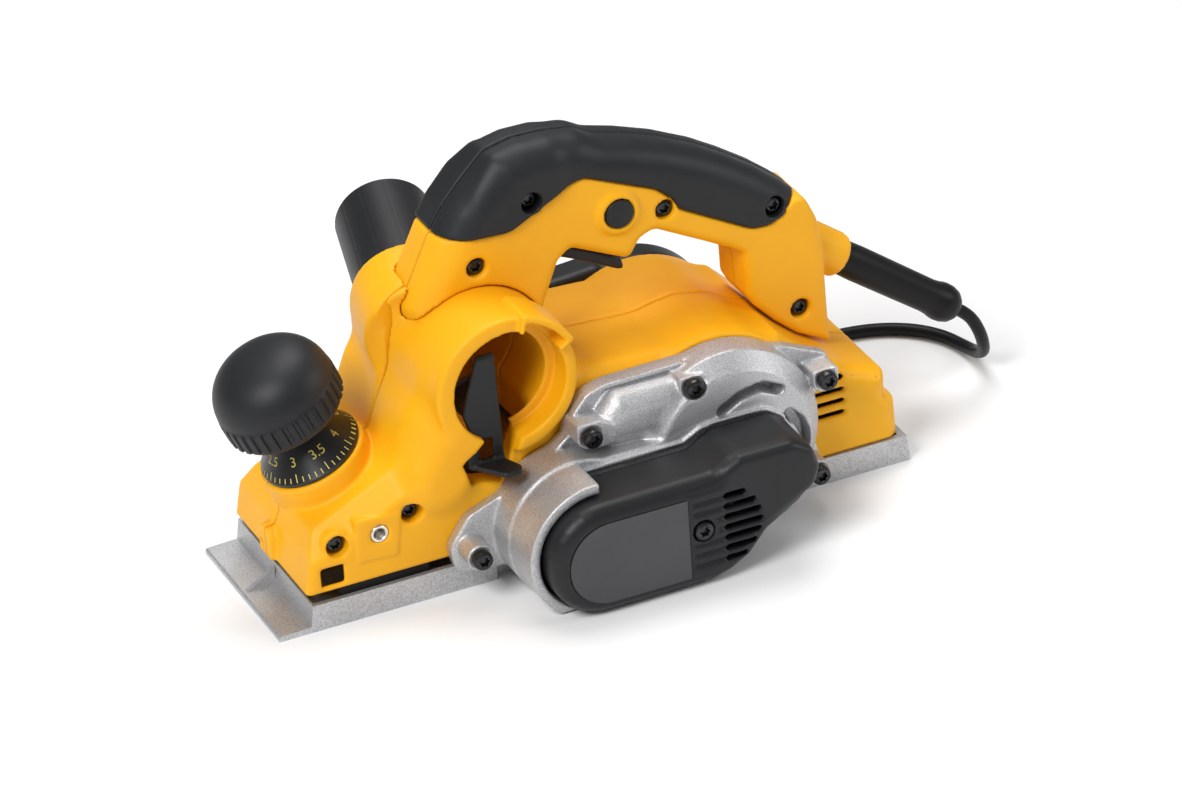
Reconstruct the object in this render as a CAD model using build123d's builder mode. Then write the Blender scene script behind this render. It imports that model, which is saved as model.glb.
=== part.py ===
from build123d import *
import os
from math import cos, sin, tan, radians, pi

# Electric hand planer, millimetres. X runs from the front (depth knob) to the rear (cord),
# the belt side is -Y and Z is up. The origin is the centre of the sole, on the plane z = 0.

os.makedirs("parts", exist_ok=True)

# ---------------------------------------------------------------- driving dimensions
SHOE_LENGTH = 320
SHOE_WIDTH = 90
CUT_WIDTH = 82
SHOE_HEIGHT = 13.5
SOLE_THICK = 4.5
FRONT_X = -SHOE_LENGTH / 2
REAR_X = SHOE_LENGTH / 2

DRUM_X, DRUM_Z = -19.0, 28.0
CUT_RADIUS = 28.0
DRUM_RADIUS = 26.5
TUNNEL_RADIUS = 30.5
TUNNEL_WALL = 2.5

MOTOR_X, MOTOR_Z = 61.5, 46.5
BARREL_RADIUS = 47.5
STATOR_RADIUS = 38.0
ARMATURE_RADIUS = 20.4
SHAFT_RADIUS = 5.0
FIT = 0.03

BODY_HALF = 44.0
WALL = 3.0
SKIRT_Z = 18.0

DRIVE_FACE = 66.0
COVER_FACE = 101.0
PULLEY_IN, PULLEY_OUT = 72.0, 88.0
MOTOR_PULLEY_RADIUS = 9.0
DRUM_PULLEY_RADIUS = 14.4
BELT_GAP = 0.4
BELT_THICK = 2.4

HEAD_X, HEAD_Z, HEAD_RADIUS = -41.5, 100.0, 36.0
PORT_RADIUS = 24.0
PORT_FACE = 52.0
TUBE_SEAT, TUBE_REACH = 20.0, 42.5

KNOB_TILT = 22.6
KNOB_RADIUS = 29.2
SCALE_RADIUS = 24.3
SCREW_RADIUS = 5.0
DEPTH_TRAVEL = 4.0
GUIDE_SPACING = 22.0
GUIDE_RADIUS = 4.0

GRIP_HALF = 19.0
HANDLE_HALF = 16.5
GRIP_SKIN = 3.5

CORD_DIAMETER = 6.2
HEAD_OF_SCREW = 4.7

tilt = radians(KNOB_TILT)
KNOB = Plane(origin=(-121.9, 0, 70), x_dir=(cos(tilt), 0, sin(tilt)), z_dir=(-sin(tilt), 0, cos(tilt)))
TUBE = Plane(origin=(-52.8, 43, 118.9), x_dir=(1, -0.2245, 0), z_dir=(0.2160, 0.9619, 0.1680))
GUARD_DIR = Vector(0.7975, 0, -0.6033)
GUARD_START = Vector(148.1, 0, 91.3)
GUARD_LENGTH = 75.0


def side(distance):
    """Plane facing the belt side at y = -distance, with local x = X and local y = Z."""
    return Plane.XZ.offset(distance)


def outline(points, radius=0.0):
    """Closed face in the XZ plane, with its corners rounded where a radius is given."""
    with BuildSketch(Plane.XZ) as sketch:
        with BuildLine():
            if radius:
                FilletPolyline(*points, radius=radius, close=True)
            else:
                Polyline(*points, close=True)
        make_face()
    return sketch.sketch


def rod(x, z, radius, y_from, y_to):
    """Private cylinder parallel to Y, used as a cutter or as a pin."""
    length = y_to - y_from
    middle = (y_from + y_to) / 2
    return Pos(x, middle, z) * Rot(90, 0, 0) * Cylinder(radius, length, mode=Mode.PRIVATE)


def block(x0, x1, y0, y1, z0, z1):
    """Private box from its limits."""
    centre = ((x0 + x1) / 2, (y0 + y1) / 2, (z0 + z1) / 2)
    return Pos(*centre) * Box(x1 - x0, y1 - y0, z1 - z0, mode=Mode.PRIVATE)


def save(part, name):
    part.label = name
    export_step(part, f"parts/{name}.step")


def ring_part(x, z, outer, inner, y_from, y_to):
    """Plain ring about an axis parallel to Y."""
    with BuildPart() as ring:
        with BuildSketch(side(-y_from)):
            with Locations((x, z)):
                Circle(outer)
                Circle(inner, mode=Mode.SUBTRACT)
        extrude(amount=-(y_to - y_from))
    return ring.part


# ---------------------------------------------------------------- front shoe
with BuildPart() as front_shoe:
    shoe_profile = outline([(-144.5, 0), (-34, 0), (-36, 1.5), (-46, SHOE_HEIGHT - 4),
                            (-48, SHOE_HEIGHT), (-142.5, SHOE_HEIGHT)])
    extrude(shoe_profile, amount=SHOE_WIDTH / 2, both=True)
    add(block(-141.5, -52, -42.5, 42.5, SOLE_THICK, 20), mode=Mode.SUBTRACT)
    for edge in (-1, 1):
        add(block(-52, -30, min(41.2 * edge, 46 * edge), max(41.2 * edge, 46 * edge), -1, 20),
            mode=Mode.SUBTRACT)
    lip = outline([(FRONT_X, 0), (-144, 0), (-144, 3.2), (-159, 2.6), (FRONT_X, 1.8)])
    extrude(lip, amount=SHOE_WIDTH / 2, both=True)
    gusset = outline([(-158.5, 2.4), (-143.6, 2.4), (-143.6, 11.5)])
    extrude(gusset, amount=1.3, both=True)
    with BuildSketch(KNOB.offset(-72)):
        Circle(9)
    extrude(amount=18)
    with BuildSketch(KNOB.offset(-72)):
        with Locations((0, -GUIDE_SPACING), (0, GUIDE_SPACING)):
            Circle(GUIDE_RADIUS)
    extrude(amount=42)
    with BuildSketch(KNOB.offset(-68)):
        Circle(SCREW_RADIUS + FIT)
    extrude(amount=20, mode=Mode.SUBTRACT)
    add(block(FRONT_X - 5, 0, -46, 46, -20, 0), mode=Mode.SUBTRACT)
save(front_shoe.part, "front_shoe")

# ---------------------------------------------------------------- base casting with the rear sole
with BuildPart() as base_casting:
    with BuildSketch(side(BODY_HALF)):
        with Locations((DRUM_X, DRUM_Z)):
            Circle(TUNNEL_RADIUS + TUNNEL_WALL)
    extrude(amount=-2 * BODY_HALF)
    add(block(-60, 20, -50, 50, -20, 1.0), mode=Mode.SUBTRACT)
    sole = outline([(-4, 0), (REAR_X, 0), (158.6, SHOE_HEIGHT), (-4, SHOE_HEIGHT)])
    extrude(sole, amount=SHOE_WIDTH / 2, both=True)
    add(block(16, 155, -42, 42, SOLE_THICK, 20), mode=Mode.SUBTRACT)
    add(rod(DRUM_X, DRUM_Z, TUNNEL_RADIUS, -41.5, 41.5), mode=Mode.SUBTRACT)
    # chip opening towards the front and top, and room for the front shoe's rear edge
    add(block(-70, DRUM_X - 4, -36, 36, 30, 75), mode=Mode.SUBTRACT)
    add(block(-70, -45.5, -50, 50, -5, 21), mode=Mode.SUBTRACT)
    add(block(-70, DRUM_X, -41.6, 41.6, -5, 24), mode=Mode.SUBTRACT)
    with BuildSketch(side(-BODY_HALF)):
        with Locations((DRUM_X, DRUM_Z)):
            Circle(17)
    extrude(amount=-9)
    add(rod(DRUM_X, DRUM_Z, 13, 43, 51.5), mode=Mode.SUBTRACT)
    add(rod(DRUM_X, DRUM_Z, 8, 41, 43.5), mode=Mode.SUBTRACT)
    add(rod(DRUM_X, DRUM_Z, 20, -45, -41), mode=Mode.SUBTRACT)
save(base_casting.part, "base_casting")

# ---------------------------------------------------------------- cutter drum
DRUM = Plane(origin=(DRUM_X, 0, DRUM_Z), x_dir=(1, 0, 0), z_dir=(0, -1, 0))
SLOT_W, SLOT_D = 9.0, 10.0
with BuildPart() as cutter_drum:
    with BuildSketch(DRUM.offset(-CUT_WIDTH / 2)):
        Circle(DRUM_RADIUS)
        with PolarLocations(0, 2, start_angle=35):
            with Locations((DRUM_RADIUS - SLOT_D / 2 + 1, 0)):
                Rectangle(SLOT_D + 2, SLOT_W, mode=Mode.SUBTRACT)
        Circle(SHAFT_RADIUS, mode=Mode.SUBTRACT)
    extrude(amount=CUT_WIDTH)
save(cutter_drum.part, "cutter_drum")

with BuildPart() as drum_shaft:
    with BuildSketch(DRUM.offset(-51)):
        Circle(SHAFT_RADIUS)
    extrude(amount=51 + PULLEY_OUT + 4)
save(drum_shaft.part, "drum_shaft")

with BuildPart() as planer_blades:
    with BuildSketch(DRUM.offset(-CUT_WIDTH / 2)):
        with PolarLocations(0, 2, start_angle=35):
            with Locations((CUT_RADIUS - 5.4, SLOT_W / 2 - 0.75)):
                Rectangle(10, 1.5)
    extrude(amount=CUT_WIDTH)
save(planer_blades.part, "planer_blades")

with BuildPart() as blade_clamps:
    with BuildSketch(DRUM.offset(-CUT_WIDTH / 2)):
        with PolarLocations(0, 2, start_angle=35):
            with Locations((DRUM_RADIUS - 4.8, -0.8)):
                Rectangle(9, SLOT_W - 1.6)
    extrude(amount=CUT_WIDTH)
save(blade_clamps.part, "blade_clamps")


def pulley(x, z, radius, flange):
    with BuildPart() as wheel:
        for start, length, size in ((PULLEY_IN, 1.5, flange), (PULLEY_IN + 1.5, 13.0, radius),
                                    (PULLEY_OUT - 1.5, 1.5, flange)):
            with BuildSketch(side(start)):
                with Locations((x, z)):
                    Circle(size)
                    Circle(SHAFT_RADIUS, mode=Mode.SUBTRACT)
            extrude(amount=length)
    return wheel.part


save(pulley(DRUM_X, DRUM_Z, DRUM_PULLEY_RADIUS, DRUM_PULLEY_RADIUS + 2), "drum_pulley")
save(pulley(MOTOR_X, MOTOR_Z, MOTOR_PULLEY_RADIUS, MOTOR_PULLEY_RADIUS + 2), "motor_pulley")

with BuildPart() as drum_nut:
    with BuildSketch(side(PULLEY_OUT)):
        with Locations((DRUM_X, DRUM_Z)):
            RegularPolygon(8.5, 6)
            Circle(SHAFT_RADIUS, mode=Mode.SUBTRACT)
    extrude(amount=4)
save(drum_nut.part, "drum_nut")


def belt_face(clearance):
    """Outline of two circles and their common tangents, grown by the clearance."""
    with BuildSketch(side(PULLEY_IN + 2.5)) as loop:
        with Locations((DRUM_X, DRUM_Z)):
            Circle(DRUM_PULLEY_RADIUS + clearance)
        with Locations((MOTOR_X, MOTOR_Z)):
            Circle(MOTOR_PULLEY_RADIUS + clearance)
        make_hull()
    return loop.sketch


with BuildPart() as drive_belt:
    extrude(belt_face(BELT_GAP + BELT_THICK), amount=11)
    extrude(belt_face(BELT_GAP), amount=11, mode=Mode.SUBTRACT)
save(drive_belt.part, "drive_belt")

save(ring_part(DRUM_X, DRUM_Z, 13, SHAFT_RADIUS + FIT, -56, -48), "drum_bearing_left")
save(ring_part(DRUM_X, DRUM_Z, 13, SHAFT_RADIUS + FIT, 43.5, 51.5), "drum_bearing_right")
save(ring_part(MOTOR_X, MOTOR_Z, 13, SHAFT_RADIUS + FIT, -56, -48), "motor_bearing_left")
save(ring_part(MOTOR_X, MOTOR_Z, 11, SHAFT_RADIUS + FIT, 50, 57), "motor_bearing_right")

# ---------------------------------------------------------------- motor
with BuildPart() as motor_shaft:
    with BuildSketch(side(-57)):
        with Locations((MOTOR_X, MOTOR_Z)):
            Circle(SHAFT_RADIUS)
    extrude(amount=57 + PULLEY_OUT + 2)
save(motor_shaft.part, "motor_shaft")

with BuildPart() as armature:
    for start, length, size in ((-22, 44, ARMATURE_RADIUS), (-30, 8, 16), (22, 6, 16)):
        with BuildSketch(side(start)):
            with Locations((MOTOR_X, MOTOR_Z)):
                Circle(size)
                Circle(SHAFT_RADIUS, mode=Mode.SUBTRACT)
        extrude(amount=length)
save(armature.part, "armature")

save(ring_part(MOTOR_X, MOTOR_Z, 12, SHAFT_RADIUS, 32, 45), "commutator")
save(ring_part(MOTOR_X, MOTOR_Z, STATOR_RADIUS, ARMATURE_RADIUS + 0.6, -22, 22), "stator_core")

with BuildPart() as field_coils:
    for start, length in ((-29, 7), (22, 6)):
        with BuildSketch(side(start)):
            with Locations((MOTOR_X, MOTOR_Z)):
                Circle(34)
                Circle(22, mode=Mode.SUBTRACT)
        extrude(amount=length)
save(field_coils.part, "field_coils")

with BuildPart() as cooling_fan:
    with BuildSketch(side(31)):
        with Locations((MOTOR_X, MOTOR_Z)):
            Circle(11)
            Circle(SHAFT_RADIUS, mode=Mode.SUBTRACT)
    extrude(amount=11)
    with BuildSketch(side(31)):
        with Locations((MOTOR_X, MOTOR_Z)):
            Circle(37)
            Circle(SHAFT_RADIUS, mode=Mode.SUBTRACT)
    extrude(amount=1.6)
    with BuildSketch(side(32)):
        with Locations((MOTOR_X, MOTOR_Z)):
            with PolarLocations(24, 12):
                Rectangle(25, 1.4)
    extrude(amount=9)
save(cooling_fan.part, "cooling_fan")

with BuildPart() as brush_holders:
    for edge in (-1, 1):
        add(Pos(MOTOR_X + edge * 25, 38.5, MOTOR_Z) * Box(22, 9, 11, mode=Mode.PRIVATE))
        add(Pos(MOTOR_X + edge * 25, 38.5, MOTOR_Z) * Box(23, 6, 8, mode=Mode.PRIVATE), mode=Mode.SUBTRACT)
save(brush_holders.part, "brush_holders")

with BuildPart() as carbon_brushes:
    for edge in (-1, 1):
        add(Pos(MOTOR_X + edge * 20.5, 38.5, MOTOR_Z) * Box(16.2, 5.9, 7.9, mode=Mode.PRIVATE))
save(carbon_brushes.part, "carbon_brushes")

with BuildPart() as brush_springs:
    for edge in (-1, 1):
        add(Pos(MOTOR_X + edge * 32.2, 38.5, MOTOR_Z) * Rot(0, 90, 0) * Cylinder(2.6, 7, mode=Mode.PRIVATE))
save(brush_springs.part, "brush_springs")

# ---------------------------------------------------------------- drive side casting
screw_points = [(-66.4, 25.0), (-8.5, 71.4), (43.2, 82.4), (110.0, 66.9), (104.1, 18.4)]
with BuildPart() as drive_casting:
    with BuildSketch(side(BODY_HALF)):
        with Locations((MOTOR_X, MOTOR_Z)):
            Circle(46)
        with Locations((DRUM_X, DRUM_Z)):
            Circle(36)
        with BuildLine():
            FilletPolyline((-50, 10), (-74, 12), (-76, 26), (-66, 40), (-40, 50), (-14, 70),
                           (4, 85), (42, 90), (62, 90), (96, 82), (118, 72), (116, 58), (104, 48),
                           (111, 20), (106, 10), (96, 6), (20, 6),
                           radius=4, close=True)
        make_face()
    extrude(amount=8)
    with BuildSketch(side(BODY_HALF)):
        with Locations((MOTOR_X, MOTOR_Z)):
            Circle(46)
        with Locations((DRUM_X, DRUM_Z)):
            Circle(36)
        with BuildLine():
            Polyline((-19, 2), (70, 2), (70, 80), (20, 64), (-19, 64), close=True)
        make_face()
    extrude(amount=DRIVE_FACE - BODY_HALF)
    with BuildSketch(side(BODY_HALF + 8)):
        with BuildLine():
            FilletPolyline((2, 60), (4, 78), (14, 84), (34, 86), (44, 78), (40, 60),
                           radius=5, close=True)
        make_face()
    extrude(amount=10)
    for x, z in screw_points:
        add(rod(x, z, 6.5, -(DRIVE_FACE - 3), -BODY_HALF))
    # wall around the front end of the belt cover
    with BuildSketch(side(DRIVE_FACE)):
        with Locations((DRUM_X, DRUM_Z)):
            Circle(34)
            Circle(29, mode=Mode.SUBTRACT)
        with Locations((DRUM_X + 27, DRUM_Z)):
            Rectangle(50, 80, mode=Mode.SUBTRACT)
    extrude(amount=23)
    add(block(-80, 120, -95, -40, -20, 0.8), mode=Mode.SUBTRACT)
    add(rod(DRUM_X, DRUM_Z, 13, -56, -40), mode=Mode.SUBTRACT)
    add(rod(MOTOR_X, MOTOR_Z, 13, -56, -40), mode=Mode.SUBTRACT)
    add(rod(DRUM_X, DRUM_Z, 8, -70, -40), mode=Mode.SUBTRACT)
    add(rod(MOTOR_X, MOTOR_Z, 8, -70, -40), mode=Mode.SUBTRACT)
    add(rod(27.7, 30.4, 3.2, -(COVER_FACE - 6), -60))
    add(rod(27.7, 30.4, 1.8, -(COVER_FACE - 5), -70), mode=Mode.SUBTRACT)
    # two arc slots that let the cooling air out beside the belt cover
    with BuildSketch(side(DRIVE_FACE)):
        with Locations((MOTOR_X, MOTOR_Z)):
            SlotArc(CenterArc((0, 0), 31, 58, 50), 6)
            SlotArc(CenterArc((0, 0), 31, 0, 36), 6)
    extrude(amount=-14, mode=Mode.SUBTRACT)
    for x, z in screw_points:
        add(rod(x, z, 2.0, -70, -40), mode=Mode.SUBTRACT)
        add(rod(x, z, HEAD_OF_SCREW + 0.7, -70, -(DRIVE_FACE - 3)), mode=Mode.SUBTRACT)
    # clear of the sole, which is a little wider, and of the front shoe over its travel
    add(block(-90, 170, -45, -40, -5, SHOE_HEIGHT), mode=Mode.SUBTRACT)
    add(block(-90, -46, -45.4, -40, -5, SHOE_HEIGHT + DEPTH_TRAVEL + 1), mode=Mode.SUBTRACT)
save(drive_casting.part, "drive_casting")


def screw_group(points, head_y, length, name):
    """Socket-head screws parallel to Y, heads towards the belt side."""
    with BuildPart() as group:
        for x, z in points:
            add(rod(x, z, HEAD_OF_SCREW, -(head_y + 4), -head_y))
            add(rod(x, z, 2.0, -head_y - 0.5, -head_y + length))
            add(rod(x, z, 2.1, -(head_y + 4.5), -(head_y + 1.8)), mode=Mode.SUBTRACT)
    save(group.part, name)


screw_group(screw_points, DRIVE_FACE - 3, 20.0, "casting_screws")

# ---------------------------------------------------------------- belt cover
with BuildPart() as belt_cover:
    with BuildSketch(side(DRIVE_FACE)):
        with Locations((DRUM_X, DRUM_Z)):
            Circle(27.8)
        with BuildLine():
            Polyline((-19, 0.8), (32, 0.8), (42, 3.5), (52, 9), (61, 19.5), (78, 29.5), (86, 38),
                     (88, 46), (84, 57), (76, 62), (50, 62.5), (42, 61), (34.8, 57), (-19, 55.8),
                     close=True)
        make_face()
    extrude(amount=COVER_FACE - DRIVE_FACE)
    front_edges = belt_cover.faces().sort_by(Axis.Y)[0].edges()
    chamfer(front_edges, length=4)
    with BuildSketch(side(DRIVE_FACE)):
        with Locations((DRUM_X, DRUM_Z)):
            Circle(25.4)
        with BuildLine():
            Polyline((-19, 3.3), (32, 3.3), (41, 6), (50, 11), (59, 21.5), (76, 31.5), (83.5, 39),
                     (85.4, 46), (82, 55), (75, 59.5), (50, 60), (42.5, 58.5), (36, 54.5),
                     (-19, 53.3), close=True)
        make_face()
    extrude(amount=COVER_FACE - DRIVE_FACE - 4.5, mode=Mode.SUBTRACT)
    # round vent grille beside the screw
    with BuildSketch(side(COVER_FACE)):
        for row in range(7):
            z = 28.6 + (row - 3) * 5.4
            reach = (20.5 ** 2 - (z - 28.6) ** 2) ** 0.5
            with Locations((36.9 + reach / 2 + 1.5, z)):
                Rectangle(max(reach - 3, 5), 3)
    extrude(amount=-8, mode=Mode.SUBTRACT)
    # shallow seat for the blank label, and the counterbored screw hole
    with BuildSketch(side(COVER_FACE)):
        with Locations((-18.3, 27.8)):
            Circle(20.6)
        with Locations((1, 27.8)):
            Rectangle(39, 41.2)
    extrude(amount=-1, mode=Mode.SUBTRACT)
    add(rod(27.7, 30.4, HEAD_OF_SCREW + 0.6, -(COVER_FACE + 1), -(COVER_FACE - 3)), mode=Mode.SUBTRACT)
    add(rod(27.7, 30.4, 4.0, -(COVER_FACE - 4.5), -(COVER_FACE - 12)), mode=Mode.SUBTRACT)
    add(rod(27.7, 30.4, 2.0, -(COVER_FACE + 1), -80), mode=Mode.SUBTRACT)
save(belt_cover.part, "belt_cover")

with BuildPart() as cover_label:
    with BuildSketch(side(COVER_FACE - 1)):
        with Locations((-18.3, 27.8)):
            Circle(20.5)
        with Locations((1, 27.8)):
            Rectangle(38.8, 41)
    extrude(amount=0.8)
save(cover_label.part, "cover_label")

with BuildPart() as cover_screw:
    add(rod(27.7, 30.4, HEAD_OF_SCREW, -(COVER_FACE + 0.4), -(COVER_FACE - 3)))
    add(rod(27.7, 30.4, 1.8, -(COVER_FACE - 2.5), -84))
    add(rod(27.7, 30.4, 2.1, -(COVER_FACE + 1), -(COVER_FACE - 1.4)), mode=Mode.SUBTRACT)
save(cover_screw.part, "cover_screw")

# ---------------------------------------------------------------- handle profile
handle_points = [(-71, 121), (-71.7, 128), (-55, 161), (-48, 171.5), (-38.4, 182), (-26, 194),
                 (-12, 197), (2, 196.8), (18, 194.6), (27, 189.2), (43, 184.6), (61, 178),
                 (79.5, 169), (93, 160.7), (107, 151), (118, 142), (127, 133.5), (132, 122),
                 (134.5, 100), (135.5, 56), (119, 65), (108, 74.5), (98, 85.5), (94.5, 92),
                 (94, 114.5), (74, 125.8), (50, 138.9), (43, 136), (37, 127), (8, 141), (2, 136),
                 (-8, 112)]
grip_region = [(-80, 162), (-44.5, 160.2), (-22, 159), (8, 174), (16, 175.8), (50.8, 160.3),
               (58, 154), (62, 147), (68, 143.6), (98, 126.6), (108, 126), (121, 135.5),
               (140, 133), (140, 230), (-80, 230)]

with BuildSketch(Plane.XZ) as handle_face:
    add(outline(handle_points))
    with Locations((HEAD_X, HEAD_Z)):
        Circle(HEAD_RADIUS, mode=Mode.SUBTRACT)

with BuildSketch(Plane.XZ) as core_face:
    add(handle_face.sketch)
    offset(amount=-GRIP_SKIN, kind=Kind.INTERSECTION)

with BuildSketch(Plane.XZ) as hollow_face:
    add(handle_face.sketch)
    offset(amount=-GRIP_SKIN - 3.2, kind=Kind.INTERSECTION)

grip_area = outline(grip_region)
handle_screw_points = [(-10.8, 171.2), (55.6, 148.2), (110.2, 134.7), (-38.8, 144.7), (120.9, 78.0)]

GUARD = Plane(origin=GUARD_START - GUARD_DIR * 26, x_dir=(0, 1, 0), z_dir=GUARD_DIR)

trigger_pocket = block(-3, 42, -8.2, 8.2, 118, 158)
LOCK_X, LOCK_Z = 31.8, 153.8

for hand, edge in (("left", 1), ("right", -1)):
    with BuildPart() as handle_half:
        extrude(handle_face.sketch - grip_area, amount=edge * HANDLE_HALF)
        extrude(core_face.sketch, amount=edge * (GRIP_HALF - GRIP_SKIN))
        with BuildSketch(GUARD):
            Circle(10.8)
        extrude(amount=26)
        add(block(-200, 300, min(0, edge * 60), max(0, edge * 60), -50, 300), mode=Mode.SUBTRACT)
        extrude(hollow_face.sketch, amount=edge * (GRIP_HALF - GRIP_SKIN - 3), mode=Mode.SUBTRACT)
        with BuildSketch(GUARD.offset(-8)):
            Circle(8.3)
        extrude(amount=40, mode=Mode.SUBTRACT)
        add(trigger_pocket, mode=Mode.SUBTRACT)
        for x, z in handle_screw_points:
            add(rod(x, z, 7, min(0, -edge * 15), max(0, -edge * 15)))
            if edge == 1:
                add(rod(x, z, HEAD_OF_SCREW + 0.5, -40, -11), mode=Mode.SUBTRACT)
                add(rod(x, z, 2.1, -40, 1), mode=Mode.SUBTRACT)
            else:
                add(rod(x, z, 2.0, -1, 11), mode=Mode.SUBTRACT)
        if edge == 1:
            add(rod(LOCK_X, LOCK_Z, 9.6, -18.5, -12))
            add(rod(LOCK_X, LOCK_Z, 7.35, -40, -8), mode=Mode.SUBTRACT)
        add(rod(HEAD_X, HEAD_Z, HEAD_RADIUS, -60, 60), mode=Mode.SUBTRACT)
    save(handle_half.part, f"handle_{hand}")

    with BuildPart() as grip_half:
        extrude(handle_face.sketch & grip_area, amount=edge * GRIP_HALF)
        extrude(core_face.sketch, amount=edge * (GRIP_HALF - GRIP_SKIN), mode=Mode.SUBTRACT)
        if edge == 1:
            for x, z in handle_screw_points:
                add(rod(x, z, HEAD_OF_SCREW + 0.5, -40, -11), mode=Mode.SUBTRACT)
    save(grip_half.part, f"grip_{hand}")

screw_group(handle_screw_points, 11.0, 20.0, "handle_screws")

with BuildPart() as trigger:
    extrude(outline([(2.5, 136), (8.5, 139), (36, 124.8), (37.5, 118.5), (33.5, 119.5), (8, 133)]),
            amount=7.5, both=True)
    extrude(outline([(4, 134), (36, 121), (36, 134), (12, 147), (4, 147)]), amount=6.5, both=True)
    add(rod(7.5, 143, 2.5, -8, 8))
save(trigger.part, "trigger")

with BuildPart() as switch_body:
    add(block(2, 40, -8.5, 8.5, 162, 175))
save(switch_body.part, "switch_body")

with BuildPart() as lock_button:
    add(rod(LOCK_X, LOCK_Z, 7.0, -19.3, -9))
save(lock_button.part, "lock_button")

# ---------------------------------------------------------------- housing
housing_points = [(-144.5, SKIRT_Z), (-141, 35), (-136, 46), (-92, 67), (-84, 86), (-79, 98), (-76, 112),
                  (-10, 118), (-6, 98), (8, 93.5), (46, 92), (64, 94.0), (78, 90.5), (87, 85),
                  (98, 84), (108, 73), (119, 63.6), (134, 54.6), (151.5, 48.5), (151.5, 37.5),
                  (156, 32), (157, SHOE_HEIGHT), (0, SHOE_HEIGHT), (-20, 30), (-50, SKIRT_Z)]
housing_face = outline(housing_points)
housing_screw_points = [(-127.4, 39.0), (-90.5, 46.2)]
INSERT_X, INSERT_Z = -107.2, 40.7

for hand, edge in (("left", 1), ("right", -1)):
    with BuildPart() as housing_half:
        extrude(housing_face, amount=edge * BODY_HALF)
        with BuildSketch(Plane.XZ):
            with Locations((HEAD_X, HEAD_Z)):
                Circle(HEAD_RADIUS)
        extrude(amount=edge * (PORT_FACE if edge == 1 else BODY_HALF))
        with BuildSketch(KNOB.offset(-24)):
            Circle(25.6)
        extrude(amount=19.5)
        if edge == -1:
            with BuildSketch(TUBE.offset(-46)):
                Circle(26)
            extrude(amount=34)
        add(block(-200, 300, min(0, edge * 90), max(0, edge * 90), -50, 300), mode=Mode.SUBTRACT)
        extrude(handle_face.sketch, amount=edge * HANDLE_HALF, mode=Mode.SUBTRACT)
        # front cavity round the depth mechanism
        extrude(outline([(-141, 0), (-138, 34), (-133, 43), (-94, 62), (-80, 62), (-80, 0)]),
                amount=edge * (BODY_HALF - WALL), mode=Mode.SUBTRACT)
        # motor barrel and rear cavity
        add(rod(MOTOR_X, MOTOR_Z, BARREL_RADIUS - WALL, -BODY_HALF - 1, BODY_HALF + 1),
            mode=Mode.SUBTRACT)
        extrude(outline([(20, 0), (20, 60), (90, 76), (117, 60), (132, 51.5), (148.5, 45.5),
                         (148.5, 35), (153, 30), (153.5, 0)]),
                amount=edge * (BODY_HALF - WALL), mode=Mode.SUBTRACT)
        # room for the drum tunnel and for the bearing boss
        add(rod(DRUM_X, DRUM_Z, TUNNEL_RADIUS + TUNNEL_WALL, -60, 60), mode=Mode.SUBTRACT)
        add(block(-60, 12, -60, 60, -10, 32), mode=Mode.SUBTRACT)
        # chip channel: up from the drum, then out to both sides
        add(block(-64, -26, -34, 34, 40, 100), mode=Mode.SUBTRACT)
        add(rod(HEAD_X, HEAD_Z, PORT_RADIUS, -60, 30), mode=Mode.SUBTRACT)
        with BuildSketch(TUBE.offset(-34)):
            Circle(22.9)
        extrude(amount=60, mode=Mode.SUBTRACT)
        with BuildSketch(KNOB.offset(-40)):
            Circle(SCREW_RADIUS + 0.5)
        extrude(amount=60, mode=Mode.SUBTRACT)
        if edge == 1:
            # gate in the port's rim for the diverter lever
            add(block(-67, -38, -60, -24, 56, 90), mode=Mode.SUBTRACT)
            add(rod(INSERT_X, INSERT_Z, 7, -BODY_HALF, -30))
            add(rod(INSERT_X, INSERT_Z, 4.5, -60, -34), mode=Mode.SUBTRACT)
            for x, z in housing_screw_points:
                add(rod(x, z, 8, -BODY_HALF, -28))
                add(rod(x, z, 5.2, -60, -36), mode=Mode.SUBTRACT)
                add(rod(x, z, 2.1, -60, 0), mode=Mode.SUBTRACT)
            add(block(-136.8, -125.2, -60, -30, 20.6, 30.1), mode=Mode.SUBTRACT)
            for x, z in screw_points:
                add(rod(x, z, 2.0, -60, -30), mode=Mode.SUBTRACT)
            for row in range(4):
                add(block(112, 128, -60, -30, 33.5 + row * 6, 36.5 + row * 6), mode=Mode.SUBTRACT)
    save(housing_half.part, f"housing_{hand}")

screw_group(housing_screw_points, 36.0, 8.0, "housing_screws")

with BuildPart() as fence_insert:
    add(rod(INSERT_X, INSERT_Z, 4.5, -BODY_HALF - 0.4, -34))
    add(rod(INSERT_X, INSERT_Z, 2.7, -BODY_HALF - 1, -33), mode=Mode.SUBTRACT)
save(fence_insert.part, "fence_insert")

with BuildPart() as shoe_seal:
    for low, high in ((-42.2, -41), (41, 42.2)):
        add(block(-128, -84, low, high, 9.2, SKIRT_Z))
save(shoe_seal.part, "shoe_seal")

with BuildPart() as guide_block:
    with BuildSketch(KNOB.offset(-46)):
        Rectangle(18, 2 * GUIDE_SPACING + 10)
        Circle(SCREW_RADIUS + 0.5, mode=Mode.SUBTRACT)
        with Locations((0, -GUIDE_SPACING), (0, GUIDE_SPACING)):
            Circle(GUIDE_RADIUS + FIT, mode=Mode.SUBTRACT)
    extrude(amount=12)
save(guide_block.part, "guide_block")

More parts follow.
